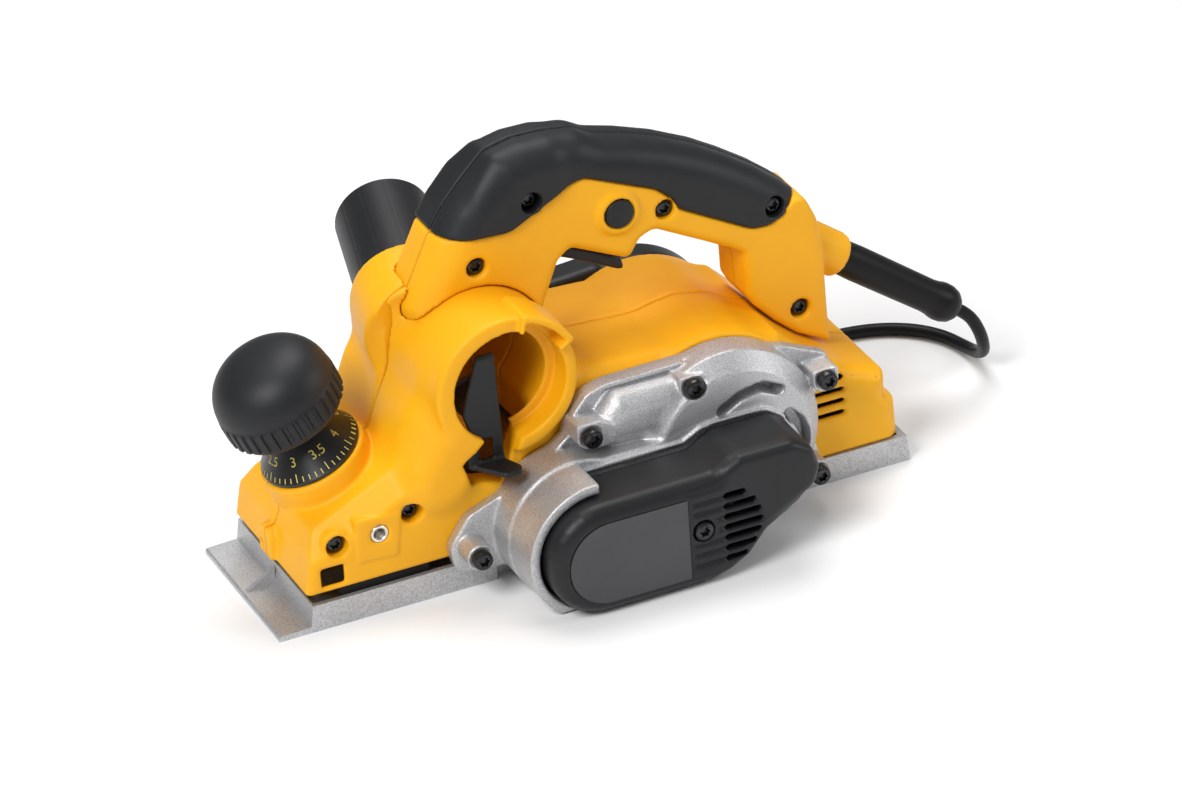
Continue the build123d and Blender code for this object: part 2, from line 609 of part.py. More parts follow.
# ---------------------------------------------------------------- right side: motor cover and chip tube
with BuildPart() as right_motor_cover:
    with BuildSketch(side(-BODY_HALF)):
        with Locations((MOTOR_X, MOTOR_Z)):
            Circle(46)
        with BuildLine():
            FilletPolyline((17, 40), (17, 90), (46, 92), (80, 80), (60, 20), radius=5, close=True)
        make_face()
    extrude(amount=-19)
    chamfer(right_motor_cover.faces().sort_by(Axis.Y)[-1].edges(), length=4)
    with BuildSketch(side(-BODY_HALF)):
        with Locations((MOTOR_X, MOTOR_Z)):
            Circle(43)
    extrude(amount=-14, mode=Mode.SUBTRACT)
    with BuildSketch(side(-48)):
        with Locations((MOTOR_X, MOTOR_Z)):
            Circle(14)
            Circle(11, mode=Mode.SUBTRACT)
    extrude(amount=-10)
    with BuildSketch(side(-BODY_HALF - 19)):
        with Locations((MOTOR_X, MOTOR_Z)):
            with PolarLocations(30, 10):
                Rectangle(14, 3.5)
    extrude(amount=8, mode=Mode.SUBTRACT)
    add(block(0, 160, 40, 45.2, -5, SHOE_HEIGHT + 0.2), mode=Mode.SUBTRACT)
save(right_motor_cover.part, "right_motor_cover")

with BuildPart() as chip_tube:
    with BuildSketch(TUBE.offset(-TUBE_SEAT)):
        Circle(22.9)
        Circle(20.4, mode=Mode.SUBTRACT)
    extrude(amount=TUBE_SEAT + TUBE_REACH)
save(chip_tube.part, "chip_tube")

# ---------------------------------------------------------------- chip diverter
HINGE_Y, HINGE_Z = -45.5, 116.0
with BuildPart() as chip_diverter:
    with BuildSketch(side(44.5)):
        with BuildLine():
            Polyline((-56, 115), (-45, 115), (-41, 80), (-41, 62), (-64, 62), (-64, 80), (-60, 96),
                     close=True)
        make_face()
        with Locations((-52, 70)):
            Rectangle(10, 9, mode=Mode.SUBTRACT)
    extrude(amount=2.4)
    add(block(-64, -40.5, -62, -44.5, 61.2, 63.8))
    add(Pos(-50.5, HINGE_Y, HINGE_Z) * Rot(0, 90, 0) * Cylinder(2.0, 9, mode=Mode.PRIVATE))
save(chip_diverter.part, "chip_diverter")

# ---------------------------------------------------------------- depth knob
with BuildPart() as depth_screw:
    with BuildSketch(KNOB.offset(-62)):
        Circle(SCREW_RADIUS)
    extrude(amount=94)
save(depth_screw.part, "depth_screw")

KNOB_SECTION = Plane(origin=KNOB.origin, x_dir=KNOB.x_dir, z_dir=(0, -1, 0))
with BuildPart() as scale_ring:
    with BuildSketch(KNOB_SECTION):
        with BuildLine():
            Polyline((SCREW_RADIUS, -4), (SCALE_RADIUS, -4), (SCALE_RADIUS, -2), (14, 11),
                     (14, 19), (SCREW_RADIUS, 19), close=True)
        make_face()
    revolve(axis=Axis(KNOB.origin, KNOB.z_dir))
save(scale_ring.part, "scale_ring")

with BuildPart() as depth_knob:
    with BuildSketch(KNOB_SECTION):
        with BuildLine():
            Polyline((SCREW_RADIUS, 19), (KNOB_RADIUS - 2.4, 19), (KNOB_RADIUS - 1.2, 22),
                     (KNOB_RADIUS, 23), (KNOB_RADIUS, 34), (28.6, 40), (26.6, 45), (23.2, 49), (19, 52),
                     (13.5, 54.2), (7, 55.5), (0, 56), (0, 32), (SCREW_RADIUS, 32), close=True)
        make_face()
    revolve(axis=Axis(KNOB.origin, KNOB.z_dir))
save(depth_knob.part, "depth_knob")

# ---------------------------------------------------------------- cord, guard, plug
GUARD_SECTION = Plane(origin=GUARD_START, x_dir=(GUARD_DIR.Z, 0, -GUARD_DIR.X), z_dir=(0, -1, 0))
with BuildPart() as cord_guard:
    with BuildSketch(GUARD_SECTION):
        with BuildLine():
            Polyline((3.2, -30), (8.2, -30), (8.2, 1), (8.6, 12), (8.2, 57), (9.4, 66), (8.6, 71),
                     (5.5, GUARD_LENGTH), (3.2, GUARD_LENGTH), close=True)
        make_face()
    revolve(axis=Axis(GUARD_START, GUARD_DIR))
save(cord_guard.part, "cord_guard")

# The cord leaves the guard, bends down to the floor and runs round behind the body to its coil.
CORD_RADIUS = CORD_DIAMETER / 2
COIL_X, COIL_Y, COIL_MEAN = 92.0, 118.0, 37.0
cord_route = [(207.91, 0, 46.05), (213.5, 0, 41.8), (217.9, 0, 36.4), (221.3, 0.3, 29.1),
              (224.4, 2.8, 20.6), (227.4, 9, 12.2), (229.3, 19.5, 6), (229, 32.5, 3.3), (225, 46.5, 3.3),
              (216, 59, 3.3), (202.5, 68, 3.3), (186, 72.8, 3.3), (165, 73.5, 3.3), (139, 72, 3.3),
              (112, 71.6, 3.3)]


def bend_radii(points):
    """Radius of each tangent arc: 0.45 of the shorter run over the tangent of half the turn."""
    radii = []
    for before, at, after in zip(points, points[1:], points[2:]):
        run_in, run_out = Vector(*at) - Vector(*before), Vector(*after) - Vector(*at)
        turn = radians(run_in.get_angle(run_out))
        radii.append(0.45 * min(run_in.length, run_out.length) / tan(turn / 2))
    return radii


cord_radii = bend_radii(cord_route)
print("cord radii", [round(radius, 1) for radius in cord_radii])
with BuildPart() as cord:
    with BuildLine() as cord_path:
        FilletPolyline(*cord_route, radius=cord_radii)
    with BuildSketch(Plane(origin=cord_route[0], z_dir=Vector(*cord_route[1]) - Vector(*cord_route[0]))):
        Circle(CORD_RADIUS)
    sweep()
cord_length = sum(edge.length for edge in cord_path.line.edges())
print("cord length", round(cord_length, 1), "volume over section times length",
      round(cord.part.volume / (pi * CORD_RADIUS ** 2 * cord_length), 4))
save(cord.part, "cord")

with BuildPart() as cord_coil:
    with BuildSketch(Plane(origin=(COIL_X, COIL_Y, 0), x_dir=(1, 0, 0), z_dir=(0, -1, 0))):
        with BuildLine():
            inner, outer = COIL_MEAN - 2 * CORD_DIAMETER, COIL_MEAN + 2 * CORD_DIAMETER
            Polyline((inner, 0), (outer, 0), (outer, CORD_DIAMETER), (COIL_MEAN + 5, 17),
                     (COIL_MEAN - 5, 17), (inner, CORD_DIAMETER), close=True)
        make_face()
    revolve(axis=Axis((COIL_X, COIL_Y, 0), (0, 0, 1)))
save(cord_coil.part, "cord_coil")

# strap round the coil's section, on the side away from the body
with BuildPart() as coil_tie:
    tie_y = COIL_Y + COIL_MEAN
    add(block(COIL_X - 5, COIL_X + 5, tie_y - 14.5, tie_y + 14.5, 0, 19))
    add(block(COIL_X - 6, COIL_X + 6, tie_y - 13.3, tie_y + 13.3, 0.0, 17.4), mode=Mode.SUBTRACT)
save(coil_tie.part, "coil_tie")

PLUG_X, PLUG_Y = -18.0, 82.0
PLUG_Z = 18.0
with BuildPart() as plug_lead:
    with BuildLine() as lead_path:
        lead_route = [(60, 92, 12), (40, 84, 12), (18, 82, 16.5), (PLUG_X + 0.3, PLUG_Y, PLUG_Z)]
        FilletPolyline(*lead_route, radius=bend_radii(lead_route))
    with BuildSketch(Plane(origin=lead_route[0], z_dir=Vector(*lead_route[1]) - Vector(*lead_route[0]))):
        Circle(CORD_RADIUS)
    sweep()
save(plug_lead.part, "plug_lead")

PLUG = Plane(origin=(PLUG_X, PLUG_Y, PLUG_Z), x_dir=(0, 1, 0), z_dir=(-1, 0, 0))
with BuildPart() as plug:
    with BuildSketch(PLUG):
        Circle(5)
    with BuildSketch(PLUG.offset(12)):
        RectangleRounded(24, 20, 6)
    loft()
    with BuildSketch(PLUG.offset(12)):
        RectangleRounded(36, 35.8, 12)
    extrude(amount=30)
save(plug.part, "plug")

with BuildPart() as plug_pins:
    with BuildSketch(PLUG.offset(42)):
        with Locations((-9.5, 0), (9.5, 0)):
            Circle(2.4)
    extrude(amount=19)
save(plug_pins.part, "plug_pins")
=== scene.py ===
import math
import bpy
import numpy as np
from mathutils import Matrix, Vector


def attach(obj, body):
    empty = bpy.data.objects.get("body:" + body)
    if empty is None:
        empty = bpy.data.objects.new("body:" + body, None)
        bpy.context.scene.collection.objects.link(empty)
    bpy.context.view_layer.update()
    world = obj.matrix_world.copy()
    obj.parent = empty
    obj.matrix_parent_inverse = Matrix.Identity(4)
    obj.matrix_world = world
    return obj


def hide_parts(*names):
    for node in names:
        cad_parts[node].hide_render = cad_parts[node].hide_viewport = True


# Looks of the electric hand planer. Shapes are worked out in millimetres in the frame of the
# CAD model and become metres in build() and tube(). X runs to the rear, -Y is the belt side and
# Z is up. Most pieces are distance fields, negative inside, meshed by solid(); the round ones
# are turned by lathe().

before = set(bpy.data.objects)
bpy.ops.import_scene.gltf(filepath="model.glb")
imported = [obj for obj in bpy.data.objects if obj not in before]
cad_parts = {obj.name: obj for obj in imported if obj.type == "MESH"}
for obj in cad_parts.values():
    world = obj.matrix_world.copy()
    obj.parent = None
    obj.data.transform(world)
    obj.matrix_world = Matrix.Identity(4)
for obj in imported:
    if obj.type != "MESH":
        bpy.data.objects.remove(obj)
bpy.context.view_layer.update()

MM = 0.001
BODY, KNOB_BODY, TRIGGER, LOCK, DIVERTER = (
    "planer_body", "knob_unit", "trigger_unit", "lock_unit", "diverter_unit")

# places in the side view are (x, z); faces and depths are y; OUTSIDE is clear of everything
BODY_HALF, WALL = 44.0, 3.0
MOTOR = (61.5, 46.5)
DRUM_AXIS = (-19.0, 28.0)
HEAD = (-41.5, 100.0)
DRIVE_FACE, COVER_FACE = -66.0, -101.0
OUTSIDE = -120.0
TILT = math.radians(22.6)
KNOB_ORIGIN = (-121.9, 0.0, 70.0)
KNOB_AXIS = (-math.sin(TILT), 0.0, math.cos(TILT))
TUBE_ORIGIN, TUBE_AXIS = (-52.8, 43.0, 118.9), (0.2160, 0.9619, 0.1680)
GUARD_ORIGIN, GUARD_AXIS = (148.1, 0.0, 91.3), (0.7975, 0.0, -0.6033)
CORD_DIAMETER = 6.2
PLUG_Y, PLUG_Z = 82.0, 18.0


# ---------------------------------------------------------------- camera
def make_camera():
    """A long lens at the viewing angle of the photograph."""
    place = Vector((-1004.5, -2428.4, 1557.2)) * MM
    target = Vector((13.0, -15.2, 63.8)) * MM
    roll = math.radians(-3.94)
    data = bpy.data.cameras.new("camera")
    data.lens, data.sensor_width = 200, 36
    data.clip_end = 50
    camera = bpy.data.objects.new("camera", data)
    bpy.context.scene.collection.objects.link(camera)
    turn = (target - place).to_track_quat("-Z", "Y")
    camera.matrix_world = (Matrix.Translation(place) @ turn.to_matrix().to_4x4()
                           @ Matrix.Rotation(roll, 4, "Z"))
    bpy.context.scene.camera = camera


# ---------------------------------------------------------------- materials
def principled(name, colour, roughness, **inputs):
    """New material; returns it with its nodes and links for more detail."""
    material = bpy.data.materials.new(name)
    material.use_nodes = True
    nodes, links = material.node_tree.nodes, material.node_tree.links
    shader = nodes["Principled BSDF"]
    shader.inputs["Base Color"].default_value = (*colour, 1)
    shader.inputs["Roughness"].default_value = roughness
    for key, value in inputs.items():
        shader.inputs[key.replace("_", " ")].default_value = value
    return material, nodes, links, shader


def noise(nodes, links, scale, detail=4.0, roughness=0.55):
    """Noise in object space, which is the row frame in metres."""
    place = nodes.new("ShaderNodeTexCoord")
    texture = nodes.new("ShaderNodeTexNoise")
    texture.inputs["Scale"].default_value = scale
    texture.inputs["Detail"].default_value = detail
    texture.inputs["Roughness"].default_value = roughness
    links.new(place.outputs["Object"], texture.inputs["Vector"])
    return texture.outputs["Fac"]


def ramp(nodes, links, source, low, high, start=0.35, end=0.65):
    """Colour ramp between two colours over part of the source's range."""
    node = nodes.new("ShaderNodeValToRGB")
    node.color_ramp.elements[0].position, node.color_ramp.elements[1].position = start, end
    node.color_ramp.elements[0].color, node.color_ramp.elements[1].color = (*low, 1), (*high, 1)
    links.new(source, node.inputs["Fac"])
    return node.outputs["Color"]


def bump(nodes, links, shader, height, strength, distance):
    """Fine relief on the shader's normal."""
    node = nodes.new("ShaderNodeBump")
    node.inputs["Strength"].default_value = strength
    node.inputs["Distance"].default_value = distance
    links.new(height, node.inputs["Height"])
    links.new(node.outputs["Normal"], shader.inputs["Normal"])


def textured(name, low, high, rough_low, rough_high, grain, grain_strength, **inputs):
    """Material whose colour and gloss drift over large patches, with a fine surface grain."""
    material, nodes, links, shader = principled(name, high, rough_high, **inputs)
    drift = noise(nodes, links, 18.0)
    links.new(ramp(nodes, links, drift, low, high), shader.inputs["Base Color"])
    spread = nodes.new("ShaderNodeMapRange")
    spread.inputs["To Min"].default_value = rough_low
    spread.inputs["To Max"].default_value = rough_high
    links.new(drift, spread.inputs["Value"])
    links.new(spread.outputs["Result"], shader.inputs["Roughness"])
    fine = noise(nodes, links, grain, detail=2.0)
    bump(nodes, links, shader, fine, grain_strength, 0.0004)
    return material


def cast_metal(name, dark, light):
    """Bead-blasted die casting: pale speckle over slow grey patches."""
    material, nodes, links, shader = principled(name, light, 0.5, Metallic=0.8)
    patches = ramp(nodes, links, noise(nodes, links, 22.0), dark, light, 0.3, 0.7)
    speckle = ramp(nodes, links, noise(nodes, links, 1500.0, 3.0), (0.72,) * 3, (1.12,) * 3)
    mix = nodes.new("ShaderNodeMixRGB")
    mix.blend_type = "MULTIPLY"
    mix.inputs["Fac"].default_value = 1.0
    links.new(patches, mix.inputs["Color1"])
    links.new(speckle, mix.inputs["Color2"])
    links.new(mix.outputs["Color"], shader.inputs["Base Color"])
    bump(nodes, links, shader, noise(nodes, links, 900.0, 3.0), 0.35, 0.0005)
    return material


def machined(name, dark, light, metallic=1.0, roughness=0.3):
    """Turned or ground metal: fine streaks."""
    material, nodes, links, shader = principled(name, light, roughness, Metallic=metallic)
    streaks = noise(nodes, links, 260.0, 5.0, 0.7)
    links.new(ramp(nodes, links, streaks, dark, light), shader.inputs["Base Color"])
    bump(nodes, links, shader, streaks, 0.12, 0.0003)
    return material


YELLOW = textured("yellow_nylon", (0.86, 0.395, 0.004), (0.92, 0.44, 0.006), 0.4, 0.52, 1900, 0.10,
                  Specular_IOR_Level=0.3)
GRIP = textured("soft_grip", (0.008, 0.0087, 0.010), (0.0125, 0.0135, 0.0155), 0.42, 0.55, 2600, 0.16,
                Specular_IOR_Level=0.35)
BLACK = textured("black_nylon", (0.008, 0.0085, 0.0095), (0.013, 0.0135, 0.015), 0.38, 0.5, 2200, 0.12,
                 Specular_IOR_Level=0.35)
LABEL = textured("blank_label", (0.04, 0.04, 0.043), (0.05, 0.05, 0.053), 0.3, 0.38, 900, 0.04)
SCALE = textured("scale_black", (0.004, 0.004, 0.004), (0.008, 0.008, 0.008), 0.25, 0.35, 1500, 0.05)
MARKS = textured("scale_print", (0.62, 0.5, 0.1), (0.7, 0.58, 0.14), 0.5, 0.6, 900, 0.02)
RUBBER = textured("cord_rubber", (0.003, 0.003, 0.0034), (0.006, 0.006, 0.0065), 0.35, 0.48, 2400, 0.1,
                  Specular_IOR_Level=0.2)
CAST = cast_metal("cast_aluminium", (0.50, 0.50, 0.51), (0.66, 0.66, 0.67))
STEEL = machined("ground_steel", (0.42, 0.42, 0.44), (0.6, 0.6, 0.62))
OXIDE = machined("black_oxide", (0.03, 0.03, 0.032), (0.07, 0.07, 0.073), 0.9, 0.28)
BRASS = machined("brass", (0.5, 0.36, 0.16), (0.72, 0.55, 0.28))
ZINC = machined("zinc_plated", (0.62, 0.6, 0.55), (0.8, 0.78, 0.72))
COPPER = machined("enamelled_copper", (0.35, 0.12, 0.05), (0.5, 0.19, 0.08), 0.9, 0.35)
CARBON = textured("carbon", (0.02, 0.02, 0.02), (0.03, 0.03, 0.03), 0.5, 0.7, 1200, 0.2)


# ---------------------------------------------------------------- distance fields, in millimetres
# longest turn of one straight piece of an arc, in radians
ARC_STEP = 0.18


def rounded(*corners):
    """Closed outline from (x, z) or (x, z, radius) corners, with an arc at each radius."""
    points = []
    count = len(corners)
    for index, corner in enumerate(corners):
        here = Vector(corner[:2])
        radius = corner[2] if len(corner) > 2 else 0.0
        before = Vector(corners[index - 1][:2]) - here
        after = Vector(corners[(index + 1) % count][:2]) - here
        if not radius:
            points.append(tuple(here))
            continue
        half = before.angle(after) / 2
        reach = min(radius / math.tan(half), 0.48 * before.length, 0.48 * after.length)
        radius = reach * math.tan(half)
        towards_before, towards_after = before.normalized(), after.normalized()
        middle = here + (towards_before + towards_after).normalized() * radius / math.sin(half)
        start = here + towards_before * reach - middle
        end = here + towards_after * reach - middle
        turn = start.angle_signed(end)
        steps = max(3, int(abs(turn) / ARC_STEP))
        for step in range(steps + 1):
            angle = -turn * step / steps
            spin = Matrix(((math.cos(angle), -math.sin(angle)), (math.sin(angle), math.cos(angle))))
            points.append(tuple(middle + spin @ start))
    return points


def flat(x, z, outline):
    """Distance in the XZ plane to a closed outline, negative inside."""
    inside = np.zeros(np.broadcast(x, z).shape, bool)
    nearest = np.full(inside.shape, 1e9)
    for (x0, z0), (x1, z1) in zip(outline, outline[1:] + outline[:1]):
        run, rise = x1 - x0, z1 - z0
        along = np.clip(((x - x0) * run + (z - z0) * rise) / (run * run + rise * rise + 1e-12), 0, 1)
        nearest = np.minimum(nearest, (x - x0 - along * run) ** 2 + (z - z0 - along * rise) ** 2)
        if rise:
            inside ^= ((z0 > z) != (z1 > z)) & (x < x0 + (z - z0) * run / rise)
    return np.where(inside, -1, 1) * np.sqrt(nearest)


def disc(x, z, centre, radius):
    """Distance in the XZ plane to a circle."""
    return np.hypot(x - centre[0], z - centre[1]) - radius


def limit(side, across, edge):
    """Solid inside both distances, with a round edge where they meet."""
    a, b = side + edge, across + edge
    return np.minimum(np.maximum(a, b), 0) + np.hypot(np.maximum(a, 0), np.maximum(b, 0)) - edge


def slab(side, y, y0, y1, edge=0.8):
    """A flat shape given thickness from y0 to y1, with round edges."""
    return limit(side, np.abs(y - (y0 + y1) / 2) - (y1 - y0) / 2, edge)


def bevel(side, y, face, back, depth):
    """A flat shape from its outer face to its back, with a wide chamfer round the outer face."""
    body = np.maximum(np.maximum(side, face - y), y - back)
    return np.maximum(body, (side + face - y + depth) * math.sqrt(0.5))


def join(a, b, blend=1.0):
    """Both solids, with a fillet of about the blend's size where they meet."""
    overlap = np.maximum(blend - np.abs(a - b), 0) / blend
    return np.minimum(a, b) - overlap * overlap * blend / 4


def carve(a, b, blend=0.8):
    """The first solid less the second."""
    return -join(-a, b, blend)


def meet(a, b, blend=0.8):
    """What is inside both solids."""
    return -join(-a, -b, blend)


def polar(x, y, z, origin, axis):
    """Distance along an axis, and out from it."""
    dx, dy, dz = x - origin[0], y - origin[1], z - origin[2]
    along = dx * axis[0] + dy * axis[1] + dz * axis[2]
    out = np.sqrt(np.maximum(dx * dx + dy * dy + dz * dz - along * along, 0))
    return along, out


def spool(x, y, z, origin, axis, start, end, radius, edge=0.8):
    """Round bar along any axis."""
    along, out = polar(x, y, z, origin, axis)
    return limit(out - radius, np.abs(along - (start + end) / 2) - (end - start) / 2, edge)


def box(x, y, z, low, high, edge=0.5):
    """Box with round edges."""
    reach = [np.abs(v - (a + b) / 2) - (b - a) / 2 + edge for v, a, b in zip((x, y, z), low, high)]
    outside = np.sqrt(sum(np.maximum(v, 0) ** 2 for v in reach))
    return np.minimum(np.maximum(np.maximum(reach[0], reach[1]), reach[2]), 0) + outside - edge


def bore(body, x, y, z, place, radius, floor, edge=0.2, blend=0.5):
    """Round hole cut from the belt side down to its floor."""
    return carve(body, slab(disc(x, z, place, radius), y, OUTSIDE, floor, edge), blend)


def path(x, z, points, radius):
    """Thick line through points in the XZ plane."""
    nearest = 1e9
    for (x0, z0), (x1, z1) in zip(points, points[1:]):
        run, rise = x1 - x0, z1 - z0
        along = np.clip(((x - x0) * run + (z - z0) * rise) / (run * run + rise * rise), 0, 1)
        nearest = np.minimum(nearest, np.hypot(x - x0 - along * run, z - z0 - along * rise))
    return nearest - radius


# ---------------------------------------------------------------- meshes
# half the gap between a left and a right half
SEAM = 0.3
CORNERS = [np.array((i, j, k)) for i in (0, 1) for j in (0, 1) for k in (0, 1)]
EDGES = [(a, b) for a in CORNERS for b in CORNERS if (b - a).min() == 0 and (b - a).sum() == 1]


def build(name, points, faces, material, body, replaced=(), smooth=True, sharp=None):
    """Mesh object from points in millimetres, riding on a CAD body."""
    mesh = bpy.data.meshes.new(name)
    mesh.from_pydata([tuple(p) for p in np.asarray(points) * MM], [], [list(map(int, f)) for f in faces])
    mesh.validate()
    mesh.polygons.foreach_set("use_smooth", [smooth] * len(mesh.polygons))
    if sharp:
        mesh.set_sharp_from_angle(angle=math.radians(sharp))
    mesh.materials.append(material)
    piece = bpy.data.objects.new(name, mesh)
    bpy.context.scene.collection.objects.link(piece)
    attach(piece, body)
    if replaced:
        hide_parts(*replaced)
    return piece


def net(values, cell, low):
    """Surface net through the zero level of a grid of distances."""
    inside = values < 0
    nx, ny, nz = (n - 1 for n in inside.shape)
    count = sum(inside[i:nx + i, j:ny + j, k:nz + k].astype(np.int8) for i, j, k in CORNERS)
    cells = np.argwhere((count > 0) & (count < 8))
    number = np.full(count.shape, -1)
    number[tuple(cells.T)] = np.arange(len(cells))
    total, hits = np.zeros((len(cells), 3)), np.zeros(len(cells))
    for a, b in EDGES:
        va, vb = values[tuple((cells + a).T)], values[tuple((cells + b).T)]
        crossed = (va < 0) != (vb < 0)
        share = va[crossed] / (va[crossed] - vb[crossed])
        total[crossed] += a + (b - a) * share[:, None]
        hits[crossed] += 1
    points = (cells + total / hits[:, None]) * cell + np.array(low)
    faces = []
    for axis in range(3):
        first = np.moveaxis(inside, axis, 0)[:-1]
        second = np.moveaxis(inside, axis, 0)[1:]
        where = np.argwhere(first != second)
        starts_inside = first[tuple(where.T)]
        place = np.empty_like(where)
        others = [n for n in range(3) if n != axis]
        place[:, axis], place[:, others[0]], place[:, others[1]] = where.T
        u, v = np.eye(3, dtype=int)[(axis + 1) % 3], np.eye(3, dtype=int)[(axis + 2) % 3]
        quad = np.stack([number[tuple((place - d).T)] for d in (u + v, v, 0 * u, u)], 1)
        quad[~starts_inside] = quad[~starts_inside][:, ::-1]
        faces.append(quad)
    return points, np.concatenate(faces)


def solid(name, field, low, high, cell, material, body, replaced=()):
    """Mesh of a distance field inside the box from low to high."""
    axes = [np.arange(a - cell, b + 2 * cell, cell) for a, b in zip(low, high)]
    x, y, z = np.meshgrid(*axes, indexing="ij", sparse=True)
    values = np.array(np.broadcast_to(field(x, y, z), [len(a) for a in axes]))
    for axis in range(3):
        rim = np.moveaxis(values, axis, 0)
        rim[0], rim[-1] = np.maximum(rim[0], 0.01), np.maximum(rim[-1], 0.01)
    points, faces = net(values, cell, [a[0] for a in axes])
    # the flat joint face of a half keeps a straight edge
    near = np.abs(np.abs(points[:, 1]) - SEAM) < 0.6 * cell
    points[near, 1] = np.sign(points[near, 1]) * SEAM
    return build(name, points, faces, material, body, replaced)


def basis(axis):
    """Two directions square to an axis: the first level or along X, the second completing it."""
    w = Vector(axis).normalized()
    u = Vector((0, 1, 0)).cross(w) if abs(w.y) < 0.9 else Vector((1, 0, 0))
    u = (u - w * u.dot(w)).normalized()
    return u, w.cross(u), w


def ring_faces(base, rows, segments, closed=False):
    """Faces between rings of points, with a cap at each end or closed on itself."""
    faces = []
    for row in range(rows if closed else rows - 1):
        a, b = base + row * segments, base + (row + 1) % rows * segments
        for step in range(segments):
            n = (step + 1) % segments
            faces.append((a + step, a + n, b + n, b + step))
    if not closed:
        faces.append([base + step for step in range(segments)][::-1])
        faces.append([base + (rows - 1) * segments + step for step in range(segments)])
    return faces


def lathe(name, profile, origin, axis, material, body, replaced=(), segments=96,
          ripple=None, closed=False, sharp=35):
    """Turned piece: profile is a list of (distance along the axis, radius)."""
    u, v, w = basis(axis)
    points = []
    for height, radius in profile:
        for step in range(segments):
            angle = 2 * math.pi * step / segments
            r = radius + (ripple(height, radius, angle) if ripple else 0)
            points.append(Vector(origin) + w * height + (u * math.cos(angle) + v * math.sin(angle)) * r)
    faces = ring_faces(0, len(profile), segments, closed)
    return build(name, points, faces, material, body, replaced, sharp=sharp)


# ---------------------------------------------------------------- cord, coil and plug
def make_cord():
    """Free cord: down from the guard, round behind the body on the floor, then the tied coil."""
    route = [(207.91, 0, 46.05), (213.5, 0, 41.8), (217.9, 0, 36.4), (221.3, 0.3, 29.1), (224.4, 2.8, 20.6),
             (227.4, 9, 12.2), (229.3, 19.5, 6), (229, 32.5, 3.3), (225, 46.5, 3.3), (216, 59, 3.3),
             (202.5, 68, 3.3), (186, 72.8, 3.3), (165, 73.5, 3.3), (139, 72, 3.3), (112, 71.6, 3.3)]
    # the coil's layers, each as turns, radius of the inner turn and height; a turn climbs or
    # moves over to the next one in its last part
    on_floor, hole = 3.3, 24.6
    layers = ((4, hole + CORD_DIAMETER / 2, on_floor), (3, hole + CORD_DIAMETER, on_floor + 5.4),
              (2, hole + CORD_DIAMETER * 1.5, on_floor + 10.6))
    middle = (92, 118)
    steps, level_part = 16, 0.7
    start = math.radians(-78)
    for layer, (turns, inner, height) in enumerate(layers):
        radii = [inner + CORD_DIAMETER * n for n in range(turns)]
        if layer % 2 == 0:
            radii.reverse()
        for turn, radius in enumerate(radii):
            following = radii[turn + 1] if turn + 1 < turns else radius
            for step in range(steps):
                share = step / steps
                moved = max(0, share - level_part) / (1 - level_part)
                r = radius + (following - radius) * moved
                climb = 0.0
                if layer + 1 < len(layers) and turn + 1 == turns:
                    climb = (layers[layer + 1][2] - height) * moved
                angle = start - 2 * math.pi * share
                route.append((middle[0] + r * math.cos(angle), middle[1] + r * math.sin(angle),
                              height + climb))
    # off the coil, then the lead to the plug
    route += [(88, 90, 14.0), (76, 92, 13.0), (62, 92.6, 12.2)]
    route += [(40, 84, 12), (18, 82, 16.5), (-14, 82, 18)]
    cord = tube("power_cord", route, CORD_DIAMETER / 2, RUBBER)
    length = curve_length(cord)
    plug = solid("cord_plug", plug_field, (-62, 62, 0), (-15, 102, 37), 0.8, RUBBER, BODY,
                 ["plug"])
    pins = solid("cord_plug_pins", pin_field, (-80, 68, 14), (-58, 96, 22), 0.5, BRASS, BODY,
                 ["plug_pins"])
    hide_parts("cord", "cord_coil", "plug_lead")


def tube(name, points, radius, material):
    """Round NURBS tube through control points in millimetres."""
    curve = bpy.data.curves.new(name, "CURVE")
    curve.dimensions = "3D"
    curve.bevel_depth = radius * MM
    curve.bevel_resolution = 5
    curve.resolution_u = 6
    curve.use_fill_caps = True
    spline = curve.splines.new("NURBS")
    spline.points.add(len(points) - 1)
    for target, point in zip(spline.points, points):
        target.co = (*(v * MM for v in point), 1)
    spline.order_u = 3
    spline.use_endpoint_u = True
    curve.materials.append(material)
    piece = bpy.data.objects.new(name, curve)
    bpy.context.scene.collection.objects.link(piece)
    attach(piece, BODY)
    return piece


def curve_length(piece):
    """Length of a curve's centre line in metres."""
    bare = piece.copy()
    bare.data = piece.data.copy()
    bare.data.bevel_depth = 0
    line = bpy.data.meshes.new_from_object(bare)
    places = [v.co for v in line.vertices]
    length = sum((b - a).length for a, b in zip(places, places[1:]))
    data = bare.data
    bpy.data.objects.remove(bare)
    bpy.data.curves.remove(data)
    bpy.data.meshes.remove(line)
    return length


def plug_field(x, y, z):
    """Moulded plug: round shank that swells into a flat-faced body with finger hollows."""
    side = limit(np.abs(y - PLUG_Y) - 18, np.abs(z - PLUG_Z) - 17.9, 10)
    body = limit(side, np.abs(x + 45) - 15, 3)
    along = np.clip((-18 - x) / 14, 0, 1)
    shank = limit(np.hypot(y - PLUG_Y, z - PLUG_Z) - (5 + 8 * along), np.abs(x + 25) - 9, 1)
    hollow = np.hypot(x + 44, np.abs(z - PLUG_Z) - 23) - 8
    return carve(join(body, shank, 4), hollow, 3)


def pin_field(x, y, z):
    """Two round pins with domed ends."""
    half_pitch, radius = 9.5, 2.4
    side = np.hypot(np.abs(y - PLUG_Y) - half_pitch, z - PLUG_Z) - radius
    return limit(side, np.abs(x + 69.3) - 9.5, 1.2)


